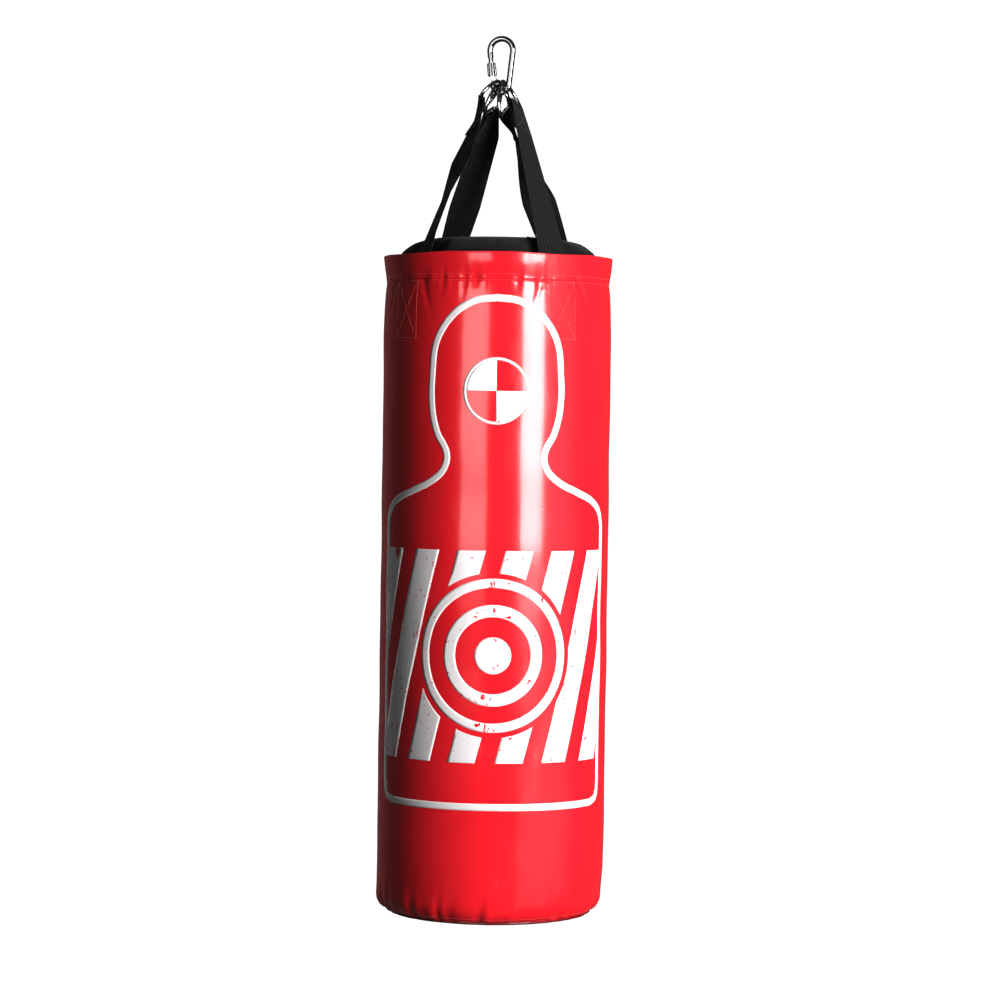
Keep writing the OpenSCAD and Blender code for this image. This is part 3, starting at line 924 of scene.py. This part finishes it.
class BAG_OT_cover(bpy.types.Operator):
    """Build the padded cloth cover, full between the straps and drawn in behind them"""
    bl_idname = "bag.cover"
    bl_label = "Top cover"

    def execute(self, context):
        depth, thick = COVER_TOP - SEAM_Z, 2 * MM
        # Lines from the middle to the rim, as shares of the cover's radius and depth
        drawn = [(0, 0), (0.58, 0), (0.68, 0.02), (0.74, 0.1), (0.785, 0.3), (0.8, 0.42),
                 (0.9, 0.72), (1, 1.02)]
        full = [(0, 0), (0.58, 0), (0.7, 0.03), (0.8, 0.09), (0.88, 0.2), (0.94, 0.34),
                (0.975, 0.6), (1, 1.02)]
        fine = [smooth_path([(r * COVER_R, COVER_TOP - d * depth) for r, d in line], 4 * MM)
                for line in (drawn, full)]
        share = np.linspace(0, 1, 64)
        drawn, full = (np.stack([np.interp(share, np.linspace(0, 1, len(f)), f[:, k])
                                 for k in (0, 1)], 1) for f in fine)
        under = [(r - thick * (r > 50 * MM), z - thick) for r, z in drawn[::6]]
        line = [tuple(p) for p in drawn] + [tuple(p) for p in reversed(under)]
        lift = np.vstack([full - drawn, np.zeros((len(under), 2))])

        def dome(theta, r, z):
            loose = (1 - strap_near(theta, 44 * MM)) * 0.94
            rows = lift[1:len(lift) - 1]
            r = r + rows[:, :1] * loose
            z = z + rows[:, 1:] * loose
            edge = smooth_step((r - 88 * MM) / (30 * MM)) * smooth_step((COVER_R - r) / (20 * MM))
            folds = (np.sin(23 * theta + 3 * np.sin(2 * theta)) * 0.6
                     + np.sin(41 * theta + 1.4) * 0.4) * edge
            return r - 0.9 * MM * edge, z + 0.8 * MM * folds - 0.4 * MM * edge

        cover = lathe("top_cover_cloth", line, 240, dome)
        finish_piece(cover, finish("cover"), "bag", ("top_cover",))
        return {"FINISHED"}


class BAG_OT_filling(bpy.types.Operator):
    """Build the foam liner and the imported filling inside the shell"""
    bl_idname = "bag.filling"
    bl_label = "Filling"

    def execute(self, context):
        low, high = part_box("foam_liner")
        foam = 15 * MM
        neck_z = SEAM_Z - 84 * MM
        neck_r = TAIL_R - 1 * MM
        top_z = high.z - 9 * MM
        outer = [(neck_r, top_z), (neck_r, neck_z), (high.x, neck_z - 8 * MM), (high.x, low.z)]
        inner = [(high.x - foam, low.z), (high.x - foam, neck_z - 16 * MM),
                 (neck_r - foam, neck_z - 24 * MM), (neck_r - foam, top_z)]
        line = []
        for a, b in zip(outer + inner, (outer + inner)[1:] + outer[:1]):
            steps = max(1, round(math.dist(a, b) / (16 * MM)))
            line += [tuple(np.array(a) + (np.array(b) - np.array(a)) * k / steps)
                     for k in range(steps)]

        def dimple(theta, r, z):
            return r - 0.4 * MM * (1 + np.sin(theta * 9 + z * 60)), z

        liner = lathe("foam_sheet", line, 120, dimple, loop=True)
        finish_piece(liner, finish("foam"), "bag", ("foam_liner",))
        low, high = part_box("textile_fill")
        fill_r = high.x
        side = [(fill_r, z) for z in np.linspace(COVER_TOP - 68 * MM, low.z + 32 * MM, 60)]
        line = ([(0, high.z), (40 * MM, high.z), (80 * MM, high.z - 1 * MM),
                 (98 * MM, COVER_TOP - 20 * MM), (106 * MM, COVER_TOP - 36 * MM),
                 (fill_r - 3 * MM, COVER_TOP - 58 * MM)] + side
                + [(fill_r * 0.93, low.z + 12 * MM), (fill_r * 0.6, low.z + 3 * MM),
                   (fill_r * 0.3, low.z), (0, low.z)])

        def lumps(theta, r, z):
            push = 2.5 * MM * (np.sin(theta * 7 + z * 55) * np.sin(theta * 3 - z * 31) - 1)
            return r + push, z

        stuffing = lathe("packed_filling", line, 120, lumps)
        finish_piece(stuffing, finish("filling"), "bag", ("textile_fill",))
        return {"FINISHED"}


# ---- operators: webbing -------------------------------------------------------------------

# Between the middles of the two layers where the webbing is sewn back on itself
LAYER_GAP = STRAP_T + 0.25 * MM


def turned(v, axis, degrees):
    """The vector turned about an axis of the frame."""
    return np.array(Matrix.Rotation(math.radians(degrees), 3, axis) @ Vector(v))


def ring_direction(i, v):
    """A direction in ring i, rolled and leant with it and turned with the carabiner."""
    return turned(turned(turned(v, "X", RING_ROLL[i]), "Y", RING_LEAN[i]), "Z", CARABINER_TURN)


class Strap:
    """The run of one strap: round its ring's bar, down to the seam and into the shell."""

    def __init__(self, i):
        self.i = i
        hang = turned((RING_ACROSS[i], 0, BEND_FLOOR + RING_OVER[i]), "Z", CARABINER_TURN)
        bow = hang + turned(turned((0, 0, -BOW_R), "Y", RING_LEAN[i]), "Z", CARABINER_TURN)
        self.bar = bow + ring_direction(i, (0, 0, -RING_DROP))
        self.bar_dir = ring_direction(i, (0, 1, 0))
        a = math.radians(STRAP_AT[i])
        self.out = np.array((math.sin(a), -math.cos(a), 0))
        rim = np.array((math.cos(a), math.sin(a), 0))
        foot = (TAIL_R + STRAP_T / 2) * self.out + np.array((0, 0, SEAM_Z - 4 * MM))
        self.bar_face = unit(np.cross(foot - self.bar, self.bar_dir))
        self.loop_r = RING_R + 0.4 * MM + STRAP_T / 2
        self.top = self.bar + self.loop_r * self.bar_face
        self.run = foot - self.top
        self.span = np.linalg.norm(self.run)
        axis = unit(self.run)
        self.side = unit(self.bar_dir - (self.bar_dir @ axis) * axis)
        self.face = np.cross(axis, self.side)
        self.sign = 1 if self.face @ self.bar_face > 0 else -1
        turn = math.degrees(math.atan2(rim @ self.face, rim @ self.side))
        self.turn = turn - 180 if turn > 90 else turn + 180 if turn < -90 else turn

    def section(self, centre, side, face, width, curve=0.0):
        """Points round the webbing: flat faces, rounded selvedges, bent to the shell by curve."""
        bend = -curve / (2 * TAIL_R) * self.out
        x = np.sin(np.linspace(-math.pi / 2, math.pi / 2, 13)) * width / 2
        h = STRAP_T / 2 * (1 - np.abs(2 * x / width) ** 7) ** 0.5
        # A thicker cord woven in along each selvedge
        cord = (np.abs(x[1:-1]) - width / 2 + 2.5 * MM) / (1.5 * MM)
        h[1:-1] += 0.16 * MM * np.exp(-cord**2)
        base = centre + x[:, None] * side + (x * x)[:, None] * bend
        upper = base + h[:, None] * face
        lower = base - h[:, None] * face
        return np.vstack([upper, lower[-2:0:-1]]), np.concatenate([x, x[-2:0:-1]])

    def frame_at(self, u):
        """Centre, side and face of the webbing a share u of the way from bar to seam."""
        a = math.radians(self.turn) * np.interp(u, *zip(*STRAP_TURN[self.i]))
        side = math.cos(a) * self.side + math.sin(a) * self.face
        face = math.cos(a) * self.face - math.sin(a) * self.side
        return self.top + u * self.run, side, face

    def width_at(self, u):
        """Width of the webbing, drawn together to pass through the ring."""
        return np.interp(u, (0, 0.14, 1), (LOOP_W, STRAP_W, STRAP_W))

    def sections(self):
        """All sections, from the folded-back end, over the bar, to the end of the tail."""
        up = np.cross(self.bar_dir, self.bar_face)
        made = []
        for d in np.linspace(46 * MM, 3 * MM, 14):
            centre, side, face = self.frame_at(d / self.span)
            spread = (2 * self.loop_r - LAYER_GAP) * (1 - smooth_step(d / (26 * MM)))
            out = self.sign * face
            made.append(self.section(centre - (LAYER_GAP + spread) * out, side, out,
                                     self.width_at(d / self.span) - 1 * MM))
        for a in np.radians(np.linspace(190, 0, 18)):
            out = math.cos(a) * self.bar_face + math.sin(a) * up
            made.append(self.section(self.bar + self.loop_r * out, self.bar_dir, out, LOOP_W))
        for u in np.linspace(0, 1, 72)[1:]:
            centre, side, face = self.frame_at(u)
            curve = np.interp(u, (0.6, 1), (0, 1))
            made.append(self.section(centre, side, self.sign * face, self.width_at(u), curve))
        centre, side, face = self.frame_at(1)
        flat = np.cross(side, (0, 0, 1))
        flat *= self.sign if flat @ face > 0 else -self.sign
        for d in np.linspace(6 * MM, TAIL_H - 4 * MM, 12):
            made.append(self.section(centre - np.array((0, 0, d)), side, flat, STRAP_W, 1.0))
        return made


def strap_piece(strap, name):
    """The webbing's mesh, with distance across and along it as a UV map in metres."""
    made = strap.sections()
    loops = np.array([points for points, _ in made])
    across = made[0][1]
    steps = np.linalg.norm(np.diff(loops.mean(1), axis=0), axis=1)
    along = np.concatenate([[0], np.cumsum(steps)])
    rows, columns = loops.shape[:2]
    faces = grid_faces(rows, columns, False, True)
    faces += [tuple(range(columns)), tuple(reversed(range((rows - 1) * columns, rows * columns)))]
    piece = mesh_piece(name, loops, faces)
    bm = bmesh.new()
    bm.from_mesh(piece.data)
    bmesh.ops.recalc_face_normals(bm, faces=bm.faces)
    uv = bm.loops.layers.uv.new("Webbing")
    for face in bm.faces:
        for loop in face.loops:
            row, column = divmod(loop.vert.index, columns)
            loop[uv].uv = (float(across[column]), float(along[row]))
    bm.to_mesh(piece.data)
    bm.free()
    return piece


def blend_strap(piece):
    """Bakes the webbing's placement into its mesh."""
    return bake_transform(piece)


class BAG_OT_straps(bpy.types.Operator):
    """Build the four webbing straps and the stitching of their ends"""
    bl_idname = "bag.straps"
    bl_label = "Straps"

    def execute(self, context):
        tacks = []
        for i, node in enumerate(STRAPS):
            strap = Strap(i)
            piece = strap_piece(strap, node.replace("strap", "webbing"))
            finish_piece(piece, finish("webbing"), None, (node,))
            blend_strap(piece)

            def spot(x, d, strap=strap):
                centre, side, face = strap.frame_at(d / strap.span)
                return centre + x * side + strap.sign * (STRAP_T / 2 + 0.15 * MM) * face

            w, near, far = 17 * MM, 14 * MM, 42 * MM
            ends = [(-w, near), (w, near), (w, far), (-w, far), (-w, near)]
            tacks.append([spot(x, d) for a, b in zip(ends, ends[1:])
                          for x, d in np.linspace(a, b, 10)])
            for a, b in (((-w, near), (w, far)), ((w, near), (-w, far))):
                tacks.append([spot(x, d) for x, d in np.linspace(a, b, 12)])
        blend_strap(sew("strap_end_stitching", tacks, "black_thread"))
        return {"FINISHED"}


# ---- operators: sewing and print ----------------------------------------------------------

class BAG_OT_stitching(bpy.types.Operator):
    """Sew the seams and the crossed boxes that hold the strap ends"""
    bl_idname = "bag.stitching"
    bl_label = "Stitching"

    def execute(self, context):
        theta = np.linspace(0, TAU, 721)

        def collar_line(share, lift):
            z = SEAM_Z + share * (RIM_Z - SEAM_Z)
            out, height = collar_shape(theta, np.full_like(theta, z))
            r = collar_r(share) + out + lift
            return np.stack([r * np.sin(theta), -r * np.cos(theta), z + height], -1)

        lift = 0.2 * MM
        seam = on_skin(theta * BAG_R, SEAM_Z - 3.2 * MM, lift)
        base = on_skin(theta * BAG_R, BASE_Z + 5 * MM, lift)
        sew("seam_stitching", [collar_line(0.14, lift), seam], "seam_thread", "bag")
        sew("base_stitching", [base], "seam_thread", "bag")
        boxes = []
        half, top, low = 20.5 * MM, SEAM_Z - 4 * MM, SEAM_Z - 78 * MM
        for at in STRAP_AT:
            mid = math.radians(at) * BAG_R
            corners = [(-half, top), (half, top), (half, low), (-half, low), (-half, top)]
            outline = np.vstack([np.linspace(a, b, 40) for a, b in zip(corners, corners[1:])])
            lines = [outline, np.linspace(corners[0], corners[2], 60),
                     np.linspace(corners[1], corners[3], 60)]
            boxes += [on_skin(mid + line[:, 0], line[:, 1], lift) for line in lines]
        sew("strap_box_stitching", boxes, "thread", "bag")
        return {"FINISHED"}


# The ink stands this far over the vinyl, and the film of it reaches down into the vinyl
PRINT_LIFT = 0.22 * MM
PRINT_T = 0.5 * MM
LEAST_SPAN = 0.2 * MM


def print_sheet(name, points, faces):
    """A printed film on the shell, facing away from the axis."""
    sheet = mesh_piece(name, points, faces)
    flip_where(sheet, lambda f: f.normal.xy @ f.calc_center_median().xy < 0, merge=True)
    return thickened(sheet, PRINT_T)


def ribbon(name, path, width):
    """A closed printed line of even width along (across, height) points."""
    ahead = np.roll(path, -1, 0) - np.roll(path, 1, 0)
    normal = np.stack([ahead[:, 1], -ahead[:, 0]], 1)
    normal /= np.linalg.norm(normal, axis=1)[:, None]
    k = np.linspace(-0.5, 0.5, 5)
    flat = path[:, None, :] + k[None, :, None] * width * normal[:, None, :]
    points = on_skin(flat[..., 0], flat[..., 1], PRINT_LIFT)
    return print_sheet(name, points, grid_faces(len(path), len(k), True, False))


def sector(name, centre, r0, r1, from_deg, to_deg):
    """A printed ring or disc, or part of one, about an (across, height) point."""
    angles = np.radians(np.linspace(from_deg, to_deg, max(8, round(abs(to_deg - from_deg) / 3))))
    radii = np.linspace(r0, r1, max(2, round((r1 - r0) / (2.2 * MM))))
    a, r = np.meshgrid(angles, radii, indexing="ij")
    points = on_skin(centre[0] + r * np.sin(a), centre[1] + r * np.cos(a), PRINT_LIFT)
    return print_sheet(name, points, grid_faces(len(angles), len(radii), False, False))


def stripe_spans(z, left, width, side, emblem, clear):
    """Parts of one stripe's level cut, inside the sides and outside the emblem's margin."""
    a, b = max(left, -side), min(left + width, side)
    spans = [(a, b)] if b - a > LEAST_SPAN else []
    reach = clear**2 - (z - emblem[1]) ** 2
    if reach <= 0:
        return spans
    hole = math.sqrt(reach)
    cut = []
    for a, b in spans:
        if min(b, -hole) - a > LEAST_SPAN:
            cut.append((a, min(b, -hole)))
        if b - max(a, hole) > LEAST_SPAN:
            cut.append((max(a, hole), b))
    return cut


def stripe(name, rows, spans_at):
    """A printed stripe built level by level from its spans."""
    points, faces = [], []
    cells = 10
    for high, low in zip(rows, rows[1:]):
        above, below = spans_at(high), spans_at(low)
        if len(above) != len(below):
            above = below = spans_at((high + low) / 2)
        for (a0, b0), (a1, b1) in zip(above, below):
            start = len(points)
            for z, a, b in ((high, a0, b0), (low, a1, b1)):
                points += [tuple(p) for p in on_skin(np.linspace(a, b, cells + 1), z, PRINT_LIFT)]
            faces += [(start + k, start + cells + 1 + k, start + cells + 2 + k, start + k + 1)
                      for k in range(cells)]
    return print_sheet(name, points, faces)


class BAG_OT_print(bpy.types.Operator):
    """Print the head-and-shoulders outline, the aiming mark, the stripes and plain rings"""
    bl_idname = "bag.print"
    bl_label = "Print"

    def execute(self, context):
        sizes = context.scene.bag_sizes
        # Right half of the outline: across from the front, and down from the rim, millimetres
        half = [(0, 59.5), (28, 63), (55, 78), (75, 101), (85, 124), (88.5, 160), (89.5, 182),
                (86.5, 212), (78.5, 237), (68, 254), (65, 268), (71, 284), (90, 299), (120, 311),
                (150, 322), (169, 335), (177, 352), (178, 372), (178, 520), (178, 660), (178, 696),
                (174, 712), (160, 719), (140, 720), (0, 720)]
        right = np.array([(x * MM, RIM_Z - d * MM) for x, d in half])
        left = right[-2:0:-1] * (-1, 1)
        loop = np.vstack([right, left])
        path = smooth_path(np.vstack([loop, loop[:1]]), 2.5 * MM)[:-1]
        outline = ribbon("print_outline", path, sizes.print_width)
        finish_piece(outline, finish("ink"), "bag")

        mark = (0.0, RIM_Z - 180 * MM)
        mark_r, line = 43.5 * MM, 3.6 * MM
        parts = [sector("mark_ring", mark, mark_r - line, mark_r, 0, 360)]
        parts += [sector("mark_quarter", mark, 0, mark_r - line, a, a + 90) for a in (90, 270)]
        finish_piece(join_pieces("print_aiming_mark", parts), finish("ink"), "bag")

        emblem = (0.0, RIM_Z - 523 * MM)
        bands = ((0.88, 1.0), (0.5, 0.66), (0, 0.24))
        rings = [sector("emblem_band", emblem, a * sizes.emblem_radius,
                        b * sizes.emblem_radius, 0, 360) for a, b in bands]
        finish_piece(join_pieces("print_rings", rings), finish("worn_ink"), "bag")

        top, low, side = RIM_Z - 387 * MM, RIM_Z - 663 * MM, 176 * MM
        slope, start = math.tan(math.radians(15)), 15 * MM
        rows = np.linspace(top, low, 200)
        stripes = []
        for k in range(-3, 5):
            def spans_at(z, k=k):
                left = start + k * sizes.stripe_pitch - (top - z) * slope
                return stripe_spans(z, left, sizes.stripe_width, side, emblem,
                                    sizes.emblem_radius + 7 * MM)
            stripes.append(stripe("stripe", rows, spans_at))
        finish_piece(join_pieces("print_stripes", stripes), finish("worn_ink"), "bag")
        return {"FINISHED"}


# ---- operators: zip and hardware ----------------------------------------------------------

def zip_tape(node, sign):
    """One cloth tape of the zip, raised in a cord along the teeth."""
    low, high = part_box(node)
    thick = high.z - low.z
    near, far = (high.y, low.y) if sign < 0 else (low.y, high.y)
    share = np.linspace(0, 1, 9)
    lift = thick * np.array([1.5, 1.25, 1, 0.9, 0.9, 0.9, 0.9, 0.8, 0.45])
    x = np.linspace(low.x, high.x, 90)[:, None]
    ripple = 0.12 * MM * np.sin(x * 700 + share * 9)
    grid = np.stack(np.broadcast_arrays(x, near + (far - near) * share, low.z + lift + ripple), -1)
    tape = mesh_piece(node.replace("zip_tape", "zip_cloth"), grid,
                      grid_faces(*grid.shape[:2], False, False))
    return thickened(flip_where(tape, lambda face: face.normal.z < 0), thick)


def teeth_row(tree, sign):
    """The row of teeth on one side of the zip, half a pitch on from the other side's."""
    pitch = 4 * MM
    tooth = (TEETH_HI.y - TEETH_LO.y) / 2 + 0.5 * MM
    overlap = 0.45 * MM
    start_x = TEETH_LO.x + 0.25 * pitch + (pitch / 2 if sign > 0 else 0)
    row = tree.apply("teeth_row", line_mesh("teeth_seed", []), {
        "Pitch": pitch, "Width": tooth, "Height": TEETH_HI.z - TEETH_LO.z,
        "Count": int((TEETH_HI.x - TEETH_LO.x) / pitch), "Start": (start_x, 0.0, 0.0),
        "Material": finish("zip_teeth")})
    points = np.zeros(len(row.data.vertices) * 3)
    row.data.vertices.foreach_get("co", points)
    points = points.reshape(-1, 3)
    points[:, 1] = -sign * (points[:, 1] - tooth / 2 + overlap)
    points[:, 2] += (TEETH_HI.z + TEETH_LO.z) / 2
    row.data.vertices.foreach_set("co", points.ravel())
    if sign > 0:
        row.data.flip_normals()
    return row


class BAG_OT_zip(bpy.types.Operator):
    """Build the zip's tapes and moulded teeth on the cover, and finish its metal"""
    bl_idname = "bag.zip"
    bl_label = "Zip"

    def execute(self, context):
        for node, sign in (("zip_tape_front", -1), ("zip_tape_rear", 1)):
            finish_piece(zip_tape(node, sign), finish("zip_cloth"), "bag", (node,))
        tree = zip_tree()
        teeth = join_pieces("zip_teeth_rows", [teeth_row(tree, sign) for sign in (-1, 1)])
        finish_piece(teeth, finish("zip_teeth"), "bag", ("zip_teeth",))
        for node in ("zip_stops", "zip_slider", "zip_pull"):
            paint_node(node, "zip_metal")
        x = np.linspace(TEETH_LO.x - 6 * MM, TEETH_HI.x + 6 * MM, 60)
        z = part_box("zip_tape_front")[1].z + 0.1 * MM
        seams = [[(a, sign * y, z) for a in x] for sign in (-1, 1) for y in (6.5 * MM, 10.5 * MM)]
        sew("zip_stitching", seams, "black_thread", "bag")
        return {"FINISHED"}


def paint_node(node, material):
    """Gives a piece of the frame its finish."""
    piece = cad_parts[node]
    piece.data.materials.clear()
    piece.data.materials.append(finish(material))


class BAG_OT_hardware(bpy.types.Operator):
    """Finish the carabiner and the rings, and wind the gate's spring"""
    bl_idname = "bag.hardware"
    bl_label = "Hardware"

    def execute(self, context):
        for node in ("carabiner_body", "carabiner_gate", "screw_sleeve"):
            paint_node(node, "chrome")
        for node in RINGS:
            paint_node(node, "ring_steel")
        paint_node("gate_pin", "pin_steel")
        low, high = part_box("gate_spring")
        tall = (high.z - low.z) * 0.93
        coil = spring_tree().apply("gate_coil", line_mesh("coil_seed", []), {
            "Radius": 1.05 * MM, "Height": tall, "Wire": 0.25 * MM, "Turns": 9.0,
            "Material": finish("spring_steel")})
        lean = Matrix.Rotation(math.radians(-GATE_LEAN), 4, "Y")
        turn = Matrix.Rotation(math.radians(CARABINER_TURN), 4, "Z")
        coil.data.transform(Matrix.Translation((low + high) / 2) @ turn @ lean
                            @ Matrix.Translation((0, 0, -tall / 2)))
        finish_piece(coil, finish("spring_steel"), "gate", ("gate_spring",))
        return {"FINISHED"}


# ---- operator: stage ----------------------------------------------------------------------

def softbox(name, bearing, distance, centre_z, size, watts, tint=(1, 1, 1)):
    """A soft rectangular light at a bearing from the front, facing the bag's axis."""
    data = bpy.data.lights.new(name, "AREA")
    data.shape = "RECTANGLE"
    data.size, data.size_y = size
    data.energy = watts
    data.color = tint
    light = bpy.data.objects.new(name, data)
    bpy.context.scene.collection.objects.link(light)
    a = math.radians(bearing)
    light.location = (distance * math.sin(a), -distance * math.cos(a), centre_z)
    back = Vector((math.sin(a), -math.cos(a), 0))
    light.rotation_euler = back.to_track_quat("Z", "Y").to_euler()
    light.visible_camera = False
    return light


class BAG_OT_studio(bpy.types.Operator):
    """Set up the pale floor and walls, the soft lights and the camera"""
    bl_idname = "bag.studio"
    bl_label = "Studio"

    def execute(self, context):
        scene = context.scene
        studio = scene.bag_studio
        floor_z, roof_z, flat_r, cove = PANEL_LO.z - 4.6, 5.6, 5.4, 1.6
        line = [(0, floor_z), (flat_r, floor_z)]
        line += [(flat_r + cove * math.sin(a), floor_z + cove * (1 - math.cos(a)))
                 for a in np.linspace(0.15, math.pi / 2, 12)]
        line += [(flat_r + cove * math.cos(a), roof_z - cove * (1 - math.sin(a)))
                 for a in np.linspace(0, math.pi / 2, 12)]
        line += [(0, roof_z)]
        bowl = lathe("floor", line, 96)
        light, dark = (0.9, 0.9, 0.9), (0.87, 0.87, 0.87)
        pale = Recipe("pale_floor", light, 0.7)
        pale.colour(pale.mix(pale.ramp(pale.noise(2.0), 0.3, 0.7), light, dark))
        pale.shader.inputs["Emission Color"].default_value = (1, 1, 1, 1)
        pale.shader.inputs["Emission Strength"].default_value = 0.93
        bowl.data.materials.append(pale.material)
        bowl.visible_glossy = False
        bowl.visible_diffuse = False
        bowl.visible_shadow = False

        softbox("key", 36, 2.6, -0.08, (0.98, 1.36), studio.key)
        second = softbox("second", -21, 3.0, -0.05, (1.35, 1.5), studio.second, (1.0, 0.93, 0.92))
        second.visible_diffuse = False
        fill = softbox("fill", 56, 2.4, -0.5, (2.2, 2.4), studio.fill, (1.0, 0.96, 0.98))
        fill.visible_glossy = False
        back = softbox("back", 200, 2.6, -0.5, (2.2, 2.4), studio.back)
        back.visible_glossy = False
        world = bpy.data.worlds.new("studio")
        scene.world = world
        world.use_nodes = True
        background = world.node_tree.nodes["Background"]
        background.inputs["Color"].default_value = (1, 1, 1, 1)
        background.inputs["Strength"].default_value = 0.05
        scene.view_settings.view_transform = "Standard"

        data = bpy.data.cameras.new("camera")
        data.lens = studio.lens
        data.clip_end = 50
        camera = bpy.data.objects.new("camera", data)
        scene.collection.objects.link(camera)
        aside, height = 6.6 * MM, -0.527
        down, roll = math.radians(1.25), math.radians(0.82)
        ahead = Vector((0, math.cos(down), -math.sin(down)))
        level, above = Vector((1, 0, 0)), Vector((0, math.sin(down), math.cos(down)))
        right = math.cos(roll) * level + math.sin(roll) * above
        up = math.cos(roll) * above - math.sin(roll) * level
        turn = Matrix((right, up, -ahead)).transposed().to_4x4()
        camera.matrix_world = Matrix.Translation((aside, -studio.distance, height)) @ turn
        scene.camera = camera
        return {"FINISHED"}


# ---- panel and registration ---------------------------------------------------------------

STEPS = (BAG_OT_studio, BAG_OT_shell, BAG_OT_collar, BAG_OT_base, BAG_OT_cover, BAG_OT_filling,
         BAG_OT_straps, BAG_OT_stitching, BAG_OT_print, BAG_OT_zip, BAG_OT_hardware)


class BAG_PT_panel(bpy.types.Panel):
    """Lists the bag's pieces and settings"""
    bl_idname = "BAG_PT_panel"
    bl_label = "Punching bag"
    bl_space_type = "VIEW_3D"
    bl_region_type = "UI"
    bl_category = "Bag"

    def draw(self, context):
        layout = self.layout
        for step in STEPS:
            layout.operator(step.bl_idname, text=step.bl_label)
        for group in ("bag_sizes", "bag_finishes", "bag_studio"):
            settings = getattr(context.scene, group)
            box = layout.box()
            for name in settings.__annotations__:
                box.prop(settings, name)


GROUPS = (BagSizes, BagFinishes, StudioSettings)


def register():
    for kind in (*GROUPS, *STEPS, BAG_PT_panel):
        bpy.utils.register_class(kind)
    bpy.types.Scene.bag_sizes = bpy.props.PointerProperty(type=BagSizes)
    bpy.types.Scene.bag_finishes = bpy.props.PointerProperty(type=BagFinishes)
    bpy.types.Scene.bag_studio = bpy.props.PointerProperty(type=StudioSettings)


def unregister():
    for name in ("bag_sizes", "bag_finishes", "bag_studio"):
        delattr(bpy.types.Scene, name)
    for kind in reversed((*GROUPS, *STEPS, BAG_PT_panel)):
        bpy.utils.unregister_class(kind)


def main():
    register()
    for step in STEPS:
        area, name = step.bl_idname.split(".")
        getattr(getattr(bpy.ops, area), name)()


if __name__ == "__main__":
    main()
